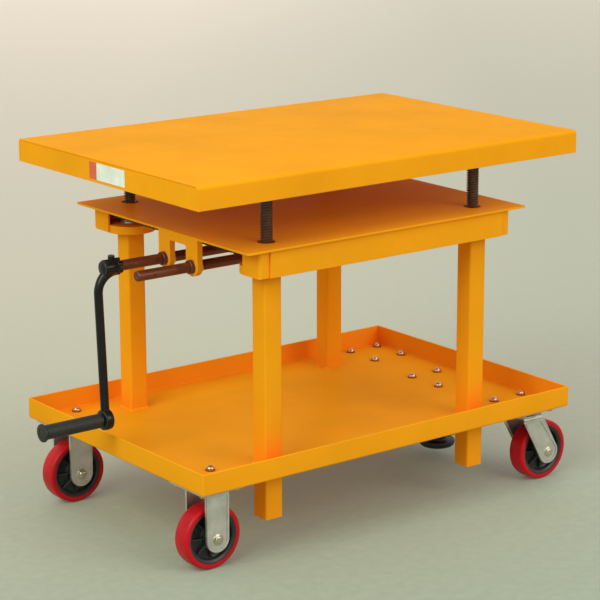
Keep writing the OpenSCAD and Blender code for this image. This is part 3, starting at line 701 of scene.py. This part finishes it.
def build_tray():
    """A folded tray: a floor, and four walls bent up from it that meet in mitred, welded corners."""
    bend = 5 * MM
    low, high = TRAY_LOW, TRAY_HIGH
    outer = [(-bend, 0)] + [(u, v) for u, v in arc(-bend, bend, bend, -90, 0, 6)][1:] + [(0, high.z - low.z)]
    t = SHEET
    inner = [(-t, high.z - low.z)] + arc(-bend, bend, bend - t, 0, -90, 6)
    bm = bmesh.new()
    corner_xy = ((high.x, high.y), (low.x, high.y), (low.x, low.y), (high.x, low.y))
    signs = ((1, 1), (-1, 1), (-1, -1), (1, -1))
    rings = []
    for (x, y), (sx, sy) in zip(corner_xy, signs):
        section = outer + inner
        rings.append([bm.verts.new((x + sx * u, y + sy * u, low.z + v)) for u, v in section])
    n = len(rings[0])
    for a, b in zip(rings, rings[1:] + rings[:1]):
        for i in range(n - 1):
            bm.faces.new((a[i], a[i + 1], b[i + 1], b[i]))
    bm.faces.new([ring[0] for ring in rings])
    bm.faces.new([ring[-1] for ring in reversed(rings)])
    piece("tray_sheet", bm, "frame", "orange_paint", ["tray"], bevel=0.9, segments=3)


def hexagon(x, y, across, turn=0.0):
    r = across / math.sqrt(3)
    return [(x + r * math.cos(turn + TAU * i / 6), y + r * math.sin(turn + TAU * i / 6)) for i in range(6)]


def bolt_spots():
    """Centres of the tray's bolts: four for each caster plate and four for the floor lock."""
    spots = []
    plates = (
        ("rigid_forks", BOLT_DX, BOLT_DY), ("swivel_plates", BOLT_DX, BOLT_DY),
        ("lock_housing", 35 * MM, 42.5 * MM),
    )
    for node, dx, dy in plates:
        low, high = box(node)
        if node == "lock_housing":
            middles = [((low.x + 4 * MM + high.x) / 2, 0.0)]
        else:
            middles = [((low.x + high.x) / 2, s * (high.y - 57 * MM)) for s in (-1, 1)]
        spots += [(x + i * dx, y + j * dy) for x, y in middles for i in (-1, 1) for j in (-1, 1)]
    return spots


def build_bolts():
    """Carriage bolts with washers on the tray's floor, and a hexagon nut below it. The heads' copper tint is
    a painted reflection of the orange round them, and the washers' dark brown is painted shade and painted
    reflection at the bolts' feet.
    """
    floor = TRAY_LOW.z + SHEET
    washer = [(0, 0), (9.6, 0), (9.6, 0.9), (9.2, 1.3), (0, 1.3)]
    shank = [(0, 0), (3.4, 0), (4, 0.7), (4, 14), (0, 14)]
    curve = [math.radians(90 * i / 8) for i in range(8)]
    head = [(0, 1), (8, 1), (8.4, 1.6), (8.4, 3)]
    head += [(8.3 * math.cos(a), 3.4 + 6.6 * math.sin(a)) for a in curve] + [(0, 10)]
    bm = bmesh.new()
    washers = bmesh.new()
    for i, (x, y) in enumerate(bolt_spots()):
        lathe(bm, head, "z", (x, y, floor), 32)
        lathe(washers, washer, "z", (x, y, floor), 32)
        lathe(bm, shank, "z", (x, y, TRAY_LOW.z - 12 * MM), 20)
        turn = 0.7 * i
        slab(bm, [hexagon(x, y, 13 * MM, turn), circle(x, y, 3.9 * MM, 18)], "z",
             TRAY_LOW.z - 11 * MM, TRAY_LOW.z - 5 * MM)
    # painted reflection in the heads' copper tint, and painted shade and painted reflection in the dark
    # brown washers
    piece("carriage_bolts", bm, "frame", "zinc_steel", ["tray_bolts"], bevel=0.35, finish=(ZINC_PAINTED_REFLECTION, ZINC_PAINTED_REFLECTION))
    piece("bolt_washers_painted_shade", washers, "frame", "zinc_steel", bevel=0.2, finish=(BROWN, BROWN))


# ---- chains and sprockets

PITCH = 12.7 * MM
TOOTH_W = 7.2 * MM
NUT_TEETH = 18
IDLER_TEETH = 12
SLOW_TEETH = 9
MAIN_LINKS = 206
SPEED_LINKS = 28
ROLLER_R = 3.96 * MM
SEAT_R = 4.05 * MM


def pitch_r(teeth):
    return PITCH / 2 / math.sin(math.pi / teeth)


def straight(a, b):
    return {"at": lambda f: a.lerp(b, f), "length": (b - a).length}


def bend_round(c, teeth, start, sweep):
    r = pitch_r(teeth)

    def at(f):
        a = math.radians(start + sweep * f)
        return c + Vector((math.cos(a), math.sin(a))) * r

    return {"at": at, "length": abs(sweep) / 360 * teeth * PITCH}


def walk(route, links):
    """Roller centres at even steps round a closed route, and the run length where each part starts."""
    starts = []
    total = 0.0
    for part in route:
        starts.append(total)
        total += part["length"]
    step = total / links
    points = []
    for i in range(links):
        s = i * step
        k = max(j for j, start in enumerate(starts) if start <= s + 1e-9)
        points.append(route[k]["at"]((s - starts[k]) / route[k]["length"]))
    return points, [s / step for s in starts]


def seat_angle(start_links, start, turn, teeth):
    """Angle of the first roller on a sprocket whose arc begins start_links along the chain."""
    return start + turn * (math.ceil(start_links - 1e-6) - start_links) * 360 / teeth


def plan(v):
    return Vector((v.x, v.y))


def main_route():
    """The chain round the four nuts, led in round the drive sprocket by the two idlers."""
    nut = {c: plan(JOINT_AT["nut_" + c]) for c in CORNERS}
    drive = plan(JOINT_AT["drive_hub"])
    rear, front = plan(JOINT_AT["idler_rear"]), plan(JOINT_AT["idler_front"])
    r, ri = pitch_r(NUT_TEETH), pitch_r(IDLER_TEETH)
    x, y = Vector((1, 0)), Vector((0, 1))
    route = []
    ring = ("front_left", "front_right", "rear_right", "rear_left")
    for here, there, out, start in zip(ring, ring[1:], (-y, x, y), (-90, 0, 90)):
        route.append(straight(nut[here] + out * r, nut[there] + out * r))
        route.append(bend_round(nut[there], NUT_TEETH, start, 90))
    return route + [
        straight(nut["rear_left"] - x * r, rear - x * ri),
        bend_round(rear, IDLER_TEETH, 180, 90),
        straight(rear - y * ri, drive + y * r),
        bend_round(drive, NUT_TEETH, 90, -180),
        straight(drive - y * r, front + y * ri),
        bend_round(front, IDLER_TEETH, 90, 90),
        straight(front - x * ri, nut["front_left"] - x * r),
        bend_round(nut["front_left"], NUT_TEETH, 180, 90),
    ]


def speed_route():
    """The short chain from the slow shaft to the fast one, in the plane of Y and Z."""
    fast = Vector((JOINT_AT["fast_shaft"].y, JOINT_AT["fast_shaft"].z))
    slow = Vector((JOINT_AT["slow_shaft"].y, JOINT_AT["slow_shaft"].z))
    r, rs = pitch_r(NUT_TEETH), pitch_r(SLOW_TEETH)
    lean = math.asin((r - rs) / (fast - slow).length)
    tilt = math.degrees(lean)
    up = Vector((-math.sin(lean), math.cos(lean)))
    down = Vector((-math.sin(lean), -math.cos(lean)))
    return [
        straight(slow + down * rs, fast + down * r),
        bend_round(fast, NUT_TEETH, -90 - tilt, 180 + 2 * tilt),
        straight(fast + up * r, slow + up * rs),
        bend_round(slow, SLOW_TEETH, 90 + tilt, 180 - 2 * tilt),
    ]


def rod(bm, a, b, r, steps=12):
    """A straight round bar from a to b."""
    d = (b - a).normalized()
    side = d.orthogonal().normalized()
    other = d.cross(side)
    section = circle(0, 0, r, steps)
    sweep(bm, [(a, side, other), (b, side, other)], section)


def link_plate(bm, a, b, normal, near, far):
    """A figure-of-eight plate from roller a to roller b, between two heights along the normal."""
    d = (b - a).normalized()
    e = normal.cross(d)
    length = (b - a).length
    r = 5.9 * MM
    ring = arc(0, 0, r, 65, 295, 8) + [(length / 2, -4.5 * MM)] + arc(length, 0, r, -115, 115, 8)
    ring.append((length / 2, 4.5 * MM))
    sweep(bm, [(a + normal * h, d, e) for h in (near, far)], ring)


def chain(name, node, points, normal):
    bm = bmesh.new()
    n = len(points)
    for i in range(n):
        a, b = points[i], points[(i + 1) % n]
        near, far = (3.95 * MM, 5.35 * MM) if i % 2 else (5.45 * MM, 6.85 * MM)
        link_plate(bm, a, b, normal, near, far)
        link_plate(bm, a, b, normal, -far, -near)
        rod(bm, a - normal * 3.85 * MM, a + normal * 3.85 * MM, ROLLER_R, 14)
        rod(bm, a - normal * 7.3 * MM, a + normal * 7.3 * MM, 1.85 * MM, 10)
    piece(name, bm, "frame", "oiled_steel", [node], bevel=0)


def tooth_outline(cx, cy, teeth, phase):
    r = pitch_r(teeth)
    tip = PITCH / 2 * (0.6 + 1 / math.tan(math.pi / teeth))
    mouth = SEAT_R + 1.4 * MM * (tip - r) / (7 * MM)
    gap = [(tip, -mouth)] + arc(r, 0, SEAT_R, -90, -270, 10) + [(tip, mouth)]
    outline = []
    for i in range(teeth):
        a = math.radians(phase + 360 * i / teeth)
        c, s = math.cos(a), math.sin(a)
        outline += [(cx + u * c - v * s, cy + u * s + v * c) for u, v in gap]
    return outline


def hub(bm, axis, at, bore, r, low, high, c=0.8, steps=48):
    """A chamfered ring. bore, radius and chamfer are in mm, and low and high are places along the axis."""
    end = (high - low) / MM
    profile = [(bore + c, 0), (r - c, 0), (r, c), (r, end - c), (r - c, end), (bore + c, end)]
    foot = (at.x, at.y, low) if axis == "z" else (low, at.y, at.z)
    lathe(bm, profile + [(bore, end - c), (bore, c)], axis, foot, steps, closed=True)


def sprocket(name, node, body, axis, plane, teeth, phase, bore, r_hub):
    """A toothed disc on a turned hub about its body's joint. bore and r_hub are in mm."""
    bm = bmesh.new()
    at = JOINT_AT[body]
    low, high = box(node)
    if axis == "z":
        u, v, start, end = at.x, at.y, low.z, high.z
    else:
        u, v, start, end = at.y, at.z, low.x, high.x
    half = TOOTH_W / 2
    loops = [tooth_outline(u, v, teeth, phase), circle(u, v, (r_hub - 0.5) * MM, 48)]
    slab(bm, loops, axis, plane - half, plane + half)
    hub(bm, axis, at, bore, r_hub, start, end)
    piece(name, bm, body, "oiled_steel", [node], bevel=0.6)


def build_main_drive():
    points, starts = walk(main_route(), MAIN_LINKS)
    low, high = box("main_chain")
    level = (low.z + high.z) / 2
    chain("main_chain_links", "main_chain", [Vector((p.x, p.y, level)) for p in points], Vector((0, 0, 1)))
    arcs = (
        ("nut_front_right", 1, -90), ("nut_rear_right", 3, 0), ("nut_rear_left", 5, 90),
        ("nut_front_left", 13, 180), ("idler_rear", 7, 180), ("idler_front", 11, 90),
    )
    for node, part, start in arcs:
        teeth, bore, r_hub = (NUT_TEETH, 11.05, 19) if "nut" in node else (IDLER_TEETH, 6.05, 13)
        phase = seat_angle(starts[part], start, 1, teeth)
        sprocket("sprocket_" + node, node, node, "z", level, teeth, phase, bore, r_hub)
    phase = seat_angle(starts[9], 90, -1, NUT_TEETH)
    sprocket("sprocket_drive", "drive_sprocket", "drive_hub", "z", level, NUT_TEETH, phase, 7.05, 14)


def build_speed_drive():
    points, starts = walk(speed_route(), SPEED_LINKS)
    low, high = box("speed_chain")
    level = (low.x + high.x) / 2
    chain("speed_chain_links", "speed_chain", [Vector((level, p.x, p.y)) for p in points], Vector((1, 0, 0)))
    apart = (JOINT_AT["fast_shaft"] - JOINT_AT["slow_shaft"]).length
    lean = math.degrees(math.asin((pitch_r(NUT_TEETH) - pitch_r(SLOW_TEETH)) / apart))
    settings = (("fast", NUT_TEETH, 1, -90 - lean, 16), ("slow", SLOW_TEETH, 3, 90 + lean, 12.5))
    for speed, teeth, part, start, r_hub in settings:
        body = speed + "_shaft"
        phase = seat_angle(starts[part], start, 1, teeth)
        sprocket("chainwheel_" + body, speed + "_sprocket", body, "x", level, teeth, phase, 10, r_hub)


# ---- shafts and crank


def build_shafts():
    """Two round shafts with chamfered, centre-drilled ends, a set collar and a cross pin on each."""
    for body in ("fast_shaft", "slow_shaft"):
        low, high = box(body)
        p = JOINT_AT[body]
        r = (high.z - low.z) / 2 / MM
        end = (high.x - low.x) / MM
        bm = bmesh.new()
        profile = [(0, 2), (1.6, 1.2), (2.6, 0), (r - 1.2, 0), (r, 1.2)]
        profile += [(r, end - 1.2), (r - 1.2, end), (0, end)]
        lathe(bm, profile, "x", (low.x, p.y, p.z), 40)
        piece(body + "_bar", bm, body, "brown_steel", [body], bevel=0, smooth=28)
        build_collars(body, p, r)


def build_collars(body, p, r):
    """A set collar at each end bracket and the cross pin. r is the shaft's radius in mm."""
    node = body.replace("shaft", "fittings")
    low, high = box(node)
    bracket = box("end_bracket")[0].x
    bm = bmesh.new()
    ends = ((bracket - 8.2 * MM, bracket - 0.2 * MM), (high.x - 3.6 * MM, high.x))
    for a, b in ends:
        hub(bm, "x", p, r, 13, a, b, 0.9, 40)
    screw_x = bracket - 4.2 * MM
    rod(bm, Vector((screw_x, p.y, p.z + 11 * MM)), Vector((screw_x, p.y, p.z + 13.4 * MM)), 2.4 * MM, 6)
    piece(body + "_collars", bm, body, "brown_steel", [node], bevel=0.3)
    pins = bmesh.new()
    reach = r + 4
    profile = [(0, 0), (2.5, 0), (2.5, reach - 0.5), (1.9, reach), (0, reach)]
    for side in (-1, 1):
        lathe(pins, profile, "y", (low.x + 2.5 * MM, p.y, p.z), 20, side=side)
    piece(body + "_cross_pin", pins, body, "brown_steel", bevel=0)


def build_crank():
    """A cast arm: a clawed hub that drives the cross pin, with a set screw boss, and a bent rod."""
    high = box("crank_arm")[1]
    p = JOINT_AT["fast_shaft"]
    claw_low = high.x - 8 * MM
    r_hub, bore = 15.6 * MM, 10.05 * MM
    bm = bmesh.new()
    profile = [(0, 0), (10, 0), (13.6, 1.6), (15.6, 5), (15.6, 26), (14.9, 28), (14.9, 31)]
    profile += [(10.05, 31), (10.05, 13), (0, 13)]
    lathe(bm, profile, "x", (high.x - 39 * MM, p.y, p.z))
    set_screw = [(0, 14), (6.5, 14), (6.5, 22), (5.6, 23), (2.5, 23), (2.5, 21.5), (0, 21.5)]
    lathe(bm, set_screw, "z", (high.x - 17 * MM, p.y, p.z), 24)
    slot = 3.2 * MM
    lead = math.degrees(math.asin(slot / r_hub))
    inner = math.degrees(math.asin(slot / bore))
    for k in range(6):
        outline = []
        for i in range(9):
            r = r_hub + 0.9 * MM * math.sin(math.pi * i / 8)
            outline += arc(p.y, p.z, r, 60 * k + lead + (60 - 2 * lead) * i / 8, 0, 1)[:1]
        outline += arc(p.y, p.z, bore, 60 * k + 60 - inner, 60 * k + inner, 4)
        slab(bm, [outline], "x", claw_low - 2 * MM, high.x)
    piece("crank_hub", bm, "crank", "black_paint", ["crank_arm"], bevel=0.8)
    build_crank_rod(Vector((high.x - 6 * MM, p.y, p.z - 5 * MM)), JOINT_AT["crank_grip"].z)


def build_crank_rod(root, grip_z):
    """The bent round rod, thickest at the hub, and the boss at its foot. root is the top of its axis."""
    bend, lean = 41 * MM, 2
    middle = root - Vector((0, 0, bend))
    y_axis = Vector((0, 1, 0))
    path = []
    for i in range(13):
        a = math.radians(90 + lean + 90 * i / 12)
        out = Vector((math.cos(a), 0, math.sin(a)))
        swell = 1 + 0.35 * max(0.0, 1 - i / 9)
        path.append((middle + bend * out, y_axis * swell, out * swell))
    start = path[-1][0]
    drop = start.z - grip_z
    end = Vector((start.x + drop * math.tan(math.radians(lean)), root.y, grip_z))
    steps = 12
    path += [(start.lerp(end, i / steps), y_axis, out) for i in range(1, steps + 1)]
    bm = bmesh.new()
    sweep(bm, path, circle(0, 0, 8.5 * MM, 24))
    boss = [(0, -9.5), (16, -9.5), (19, -8), (20, -5.5), (20, 5.5), (19, 8), (16, 9.5), (0, 9.5)]
    lathe(bm, boss, "x", end)
    piece("crank_rod", bm, "crank", "black_paint", bevel=0.4)


def build_grip():
    """A finely ribbed grip with a flange and a press-in cap at its free end."""
    low, high = box("crank_grip")
    p = JOINT_AT["crank_grip"]
    end = (high.x - low.x) / MM
    profile = [(8.1, 0), (15.2, 0), (16.9, 0.9), (17.5, 2.6), (17.5, 4.2), (16.4, 5.9), (13.8, 7.2)]
    ribs = 24
    first = 8.6
    pitch = (end - first - 3.5) / ribs
    for i in range(ribs):
        x = first + i * pitch
        profile += [(13.3, x), (13.75, x + 0.14 * pitch), (14.0, x + 0.32 * pitch)]
        profile += [(14.0, x + 0.52 * pitch), (13.75, x + 0.7 * pitch), (13.3, x + 0.84 * pitch)]
    profile += [(13.3, end - 3), (13.3, end - 1), (12.4, end), (5.1, end), (5.1, 8.2), (8.1, 8.2)]
    bm = bmesh.new()
    cap = [(0, 0.1), (6.6, 0.35), (8.0, 0.9), (8.05, 3), (0, 3)]
    turned = (("grip_sleeve", "crank_grip", profile, 48), ("grip_end_cap", "grip_cap", cap, 32))
    for name, node, outline, steps in turned:
        bm = bmesh.new()
        lathe(bm, outline, "x", (low.x, p.y, p.z), steps, closed=outline is profile)
        piece(name, bm, "crank_grip", "black_plastic", [node], bevel=0, finish=(RUBBER, RUBBER_EDGE_HIGHLIGHT))
    refine("crank_pin", "zinc_steel", 0.5)


# ---- casters


def intersected(a, b, name):
    """The mesh of what two closed meshes have in common."""
    objects = []
    for bm in (a, b):
        bmesh.ops.recalc_face_normals(bm, faces=bm.faces)
        mesh = bpy.data.meshes.new(name)
        bm.to_mesh(mesh)
        bm.free()
        made = bpy.data.objects.new(name, mesh)
        bpy.context.scene.collection.objects.link(made)
        objects.append(made)
    first, second = objects
    cut = first.modifiers.new("cut", "BOOLEAN")
    cut.operation = "INTERSECT"
    cut.solver = "EXACT"
    cut.object = second
    bpy.context.view_layer.update()
    result = bpy.data.meshes.new_from_object(first.evaluated_get(bpy.context.evaluated_depsgraph_get()))
    for made in objects:
        bpy.data.objects.remove(made)
    return result


FORK_HALF = 34 * MM
LEG_W = 52 * MM


def leg_side(x, lean, top, width, axle_z, r=25 * MM, inset=0.0):
    """Side view of a fork leg, from its straight top down to a round end about the axle."""
    fall = top - axle_z
    length = math.hypot(lean, fall)
    n = (fall / length, lean / length)
    tilt = math.degrees(math.atan2(n[1], n[0]))
    r_in = r - inset
    half = width / 2 - inset
    lowest = arc(x + lean, axle_z, r_in, tilt, tilt - 180, 18)
    return [(x + half, top - inset)] + lowest + [(x - half, top - inset)]


def fork(name, nodes, body, x, y, lean, top, width, axle_z, extra):
    """A pressed fork: a bent channel cut to the shape of its legs, with a raised rim round each leg."""
    outside, thick, bend = FORK_HALF, 5 * MM, 9 * MM
    foot = axle_z - 30 * MM
    channel = [(outside, foot)] + arc(outside - bend, top - bend, bend, 0, 90, 6)
    channel += arc(bend - outside, top - bend, bend, 90, 180, 6) + [(-outside, foot)]
    inner = [(thick - outside, foot)] + arc(bend - outside, top - bend, bend - thick, 180, 90, 6)
    inner += arc(outside - bend, top - bend, bend - thick, 90, 0, 6) + [(outside - thick, foot)]
    a = bmesh.new()
    loop = [(y + u, v) for u, v in channel + inner]
    slab(a, [loop], "x", x - 60 * MM, x + 90 * MM)
    b = bmesh.new()
    slab(b, [leg_side(x, lean, top + 1 * MM, width, axle_z)], "y", y - 60 * MM, y + 60 * MM)
    mesh = intersected(a, b, name)
    bm = bmesh.new()
    bm.from_mesh(mesh)
    bpy.data.meshes.remove(mesh)
    rim_top = top - bend
    for s in (-1, 1):
        face = y + s * outside
        proud = y + s * (outside + 1.1 * MM)
        loops = [leg_side(x, lean, rim_top, width, axle_z, inset=0.4 * MM)]
        loops.append(leg_side(x, lean, rim_top, width, axle_z, inset=5.5 * MM))
        slab(bm, loops, "y", min(face, proud), max(face, proud))
    extra(bm)
    piece(name, bm, body, "zinc_steel", nodes, bevel=0.6)


def mounting_plate(bm, x, y, low, high):
    """A caster's top plate with its four bolt holes."""
    holes = [circle(x + i * BOLT_DX, y + j * BOLT_DY, 4.6 * MM, 18) for i in (-1, 1) for j in (-1, 1)]
    slab(bm, [rounded_rect(x, y, 100 * MM, 114 * MM, 9 * MM, 5)] + holes, "z", low, high)


def axle_piece(name, node, body, x, y, z):
    """Axle bolt with a hexagon and a dome at each side."""
    bm = bmesh.new()
    rod(bm, Vector((x, y - FORK_HALF, z)), Vector((x, y + FORK_HALF, z)), 6 * MM, 20)
    for s in (-1, 1):
        face = y + s * FORK_HALF
        washer = [(0, 0), (11.5, 0), (11.5, 1.0), (10.8, 1.5), (0, 1.5)]
        lathe(bm, washer, "y", (x, face, z), 32, side=s)
        hex_end = face + s * 3.8 * MM
        slab(bm, [hexagon(x, z, 17.5 * MM, 0.3)], "y", min(face, hex_end), max(face, hex_end))
        dome = [(0, 3.4), (8.0, 3.4), (8.0, 4.0), (7.4, 4.8), (6.2, 5.4), (3.6, 5.8), (0, 6.0)]
        lathe(bm, dome, "y", (x, face, z), 32, side=s)
    piece(name, bm, body, "zinc_steel", [node] if node else [], bevel=0.4, finish=(BRIGHT, BRIGHT_EDGE_HIGHLIGHT))


def build_rigid_casters():
    low, high = box("rigid_forks")
    x = (low.x + high.x) / 2
    for side, s in (("front", -1), ("rear", 1)):
        axle = JOINT_AT[f"wheel_{side}_left"]
        y = axle.y

        def plate(bm):
            mounting_plate(bm, x, y, high.z - 5 * MM, high.z)

        nodes = ["rigid_forks"] if s < 0 else []
        fork(f"rigid_fork_{side}", nodes, "frame", x, y, 0.0, high.z - 5 * MM, LEG_W, axle.z, plate)
        axle_piece(f"rigid_axle_{side}", "rigid_axles" if s < 0 else None, "frame", axle.x, y, axle.z)


def build_swivel_casters():
    top = box("swivel_plates")[1].z
    for side in ("front", "rear"):
        pivot = JOINT_AT[f"swivel_{side}"]
        axle = JOINT_AT[f"wheel_{side}_right"]
        x, y = pivot.x, pivot.y
        bm = bmesh.new()
        mounting_plate(bm, x, y, top - 5 * MM, top)
        race = [(27, -13), (33, -13), (34, -12), (34, -8), (32, -5), (27, -5)]
        lathe(bm, race, "z", (x, y, top), closed=True)
        kingpin = [(0, -27), (7, -27), (9.5, -25.6), (9.5, -23), (6, -23), (6, -5), (0, -5)]
        lathe(bm, kingpin, "z", (x, y, top), 32)
        piece(f"swivel_race_{side}", bm, "frame", "zinc_steel", ["swivel_plates"] if side == "front" else [],
              bevel=0.5)

        def crown(bm):
            cup = [(6.1, -22), (34, -22), (36, -20.6), (36, -18), (34.5, -17), (30.5, -16.4), (30, -13.4)]
            cup += [(26.4, -13.4), (26.4, -6), (6.1, -6)]
            lathe(bm, cup, "z", (x, y, top), closed=True)

        fork(f"swivel_yoke_{side}", [f"swivel_fork_{side}"], f"swivel_{side}", x, y, axle.x - x,
             top - 17 * MM, LEG_W, axle.z, crown)
        axle_piece(f"swivel_bolt_{side}", f"swivel_axle_{side}", f"swivel_{side}", axle.x, y, axle.z)


def build_wheels():
    """Cast tread on a ribbed core with a hub at each wheel."""
    tread = [(52, -18.2), (56.5, -19), (59.6, -18.4), (61.6, -16.6), (62.3, -13.5), (62.5, -1), (62.5, 0)]
    tread = tread + [(r, -t) for r, t in reversed(tread[:-1])]
    rim = [(52, -17.4), (50.8, -18.0), (49.6, -17.8), (44.8, -15.4), (44.0, -14.2), (43.2, -8.0), (40, -5.6)]
    hub = [(24, -5.0), (19.5, -7.5), (17.4, -16), (17, -28.2), (15.5, -28.6), (6.05, -28.6)]
    side = rim + hub
    core = side + [(r, -t) for r, t in reversed(side)]
    rib = [(r * MM, t * MM) for r, t in ((17, 4.6), (43.6, 5.2), (43.4, 10), (17, 16))]
    seal = [(7, 28.5), (13.4, 28.5), (14, 28.7), (14, 28.85), (7, 28.85)]
    for corner in CORNERS:
        p = JOINT_AT["wheel_" + corner]
        body = "wheel_" + corner
        bm = bmesh.new()
        lathe(bm, tread, "y", p, 96, closed=True)
        piece("tyre_" + corner, bm, body, "red_polyurethane", ["tread_" + corner], bevel=0, smooth=50)
        bm = bmesh.new()
        lathe(bm, core, "y", p, 72, closed=True)
        for k in range(8):
            a = TAU * k / 8
            u = Vector((math.cos(a), 0, math.sin(a)))
            w = Vector((-math.sin(a), 0, math.cos(a)))
            for s in (-1, 1):
                n = Vector((0, s, 0))
                sweep(bm, [(p + w * h * MM, u, n) for h in (-1.6, 1.6)], rib)
        piece("wheel_centre_" + corner, bm, body, "black_plastic", ["core_" + corner], bevel=0.5)
        bm = bmesh.new()
        for s in (-1, 1):
            lathe(bm, seal, "y", p, 40, closed=True, side=s)
        piece("bearing_shield_" + corner, bm, body, "zinc_steel", bevel=0)


# ---- floor lock and small parts


def build_lock():
    """The lock's pad and plunger are turned. Its housing and pedal keep their CAD shapes."""
    low = box("lock_foot")[0]
    c = centre("lock_foot")
    profile = [
        (0, 0), (30, 0), (33.5, 1.2), (36.6, 4), (38, 7.5), (38, 12), (37, 14), (21, 14.2), (20, 16),
        (19, 19), (14.4, 19.4), (14, 21), (14, 70), (12.6, 72), (5, 72), (5, 93), (3.5, 95), (0, 95),
    ]
    bm = bmesh.new()
    lathe(bm, profile, "z", (c.x, c.y, low.z), 56)
    piece("lock_pad", bm, "lock_foot", "black_rubber", ["lock_foot"], bevel=0.4)
    refine("lock_housing", "black_paint", 0.8)
    refine("lock_pedal", "black_paint", 1.0)


def refine_inner_parts():
    for node in ("thrust_bearings", "sprocket_pins"):
        refine(node, "zinc_steel", 0.3)
    for node in ("drive_bevel", "bevel_pinion"):
        refine(node, "oiled_steel", 0.15)
    refine("screw_flanges", "oiled_steel", 0.8)
    refine("screw_guides", "black_plastic", 0.6)
    refine("platform_stiffeners", "orange_paint", 0.6)


# ---- studio


CAMERA_TURN = math.radians(-37.47)
CAMERA_RISE = math.radians(14.39)
CAMERA_ROLL = math.radians(-0.16)
CAMERA_AT = Vector((-2.5757, -3.3593, 1.4866))
CAMERA_LENS, CAMERA_SENSOR = 130.92, 36
LAMP_AIM = Vector((0, 0, 0.4))
SKY = (0.96, 0.955, 0.90, 1)
FLOOR_R = 40


def build_floor():
    """A wide flat disc with painted light and shade: brighter and cream at the far left, darker and grey
    green at the near right, and a faint painted glow in its own colour.
    """
    s = Shader("studio_floor")
    turned = s.node("ShaderNodeMapping", Vector=s.coords, Rotation=(0, 0, -CAMERA_TURN))
    along = s.node("ShaderNodeSeparateXYZ", Vector=turned.outputs["Vector"])
    # painted light and shade: the floor darkens towards the camera and brightens to cream far off
    painted_light_drift = s.spread(along.outputs["Y"], -1.2, 9.5, 0, 1)
    grain = s.noise(45, 6)
    tone = s.ramp(painted_light_drift, (0.0, (0.25, 0.29, 0.235)), (0.2, (0.50, 0.47, 0.39)), (1.0, (1.0, 0.88, 0.76)))
    # painted shade: greyer, greener and darker towards the right
    painted_shade_side = s.mix(s.spread(along.outputs["X"], -0.7, 0.9, 0, 0.3), tone, (0.22, 0.33, 0.26))
    colour = s.mix(s.spread(grain, 0.35, 0.7, 0, 0.12), painted_shade_side, (0.62, 0.62, 0.56))
    s.feed("Base Color", colour)
    # painted glow: the floor faintly emits its own colour, which lifts the shadows on it
    s.feed("Emission Color", colour)
    s.set(Emission_Strength=0.12)
    s.feed("Roughness", s.spread(grain, 0.3, 0.7, 0.7, 0.85))
    s.bump((grain, 0.12, 0.001))
    s.set(IOR=1.3)
    bm = bmesh.new()
    bm.faces.new([bm.verts.new((x, y, 0)) for x, y in circle(0, 0, FLOOR_R, 96)])
    mesh = bpy.data.meshes.new("studio_floor")
    bm.to_mesh(mesh)
    bm.free()
    mesh.materials.append(s.material)
    made = bpy.data.objects.new("studio_floor", mesh)
    bpy.context.scene.collection.objects.link(made)


def area_light(name, at, size, power, colour):
    """A rectangular lamp that faces the middle of the table."""
    data = bpy.data.lights.new(name, "AREA")
    data.shape = "RECTANGLE"
    data.size, data.size_y = size
    data.energy = power
    data.color = colour
    made = bpy.data.objects.new(name, data)
    made.location = at
    made.rotation_euler = (LAMP_AIM - Vector(at)).to_track_quat("-Z", "Y").to_euler()
    bpy.context.scene.collection.objects.link(made)


def build_light():
    """A bright even sky and three large soft lamps, the strongest high on the left."""
    world = bpy.data.worlds.new("studio")
    world.use_nodes = True
    background = world.node_tree.nodes["Background"]
    background.inputs["Color"].default_value = SKY
    background.inputs["Strength"].default_value = 0.80
    scene = bpy.context.scene
    scene.world = world
    scene.view_settings.view_transform = "Standard"
    area_light("key", (-4.1, -1.4, 3.5), (3.0, 3.0), 158, (0.80, 1.0, 0.72))
    area_light("front", (1.3, -4.8, 2.9), (3.4, 2.4), 90, (1.0, 1.0, 0.88))
    area_light("top", (0.4, 0.6, 4.6), (3.6, 3.6), 4, (0.87, 1.0, 0.78))


def build_camera():
    """The camera's place is measured from under the middle of the four posts."""
    data = bpy.data.cameras.new("camera")
    data.sensor_width = CAMERA_SENSOR
    data.lens = CAMERA_LENS
    made = bpy.data.objects.new("camera", data)
    aim = Matrix.Rotation(CAMERA_TURN, 4, "Z") @ Matrix.Rotation(math.pi / 2 - CAMERA_RISE, 4, "X")
    aim = aim @ Matrix.Rotation(CAMERA_ROLL, 4, "Z")
    made.matrix_world = Matrix.Translation(CAMERA_AT + Vector((MID_X, 0, 0))) @ aim
    bpy.context.scene.collection.objects.link(made)
    bpy.context.scene.camera = made


for build in (
    build_platform, build_label, build_screws, build_deck, build_posts, build_rails, build_guards,
    build_bearing_plates, build_brackets, build_bushings, build_tray, build_bolts, build_main_drive,
    build_speed_drive, build_shafts, build_crank, build_grip, build_rigid_casters, build_swivel_casters,
    build_wheels, build_lock, refine_inner_parts, build_floor, build_light, build_camera,
):
    build()
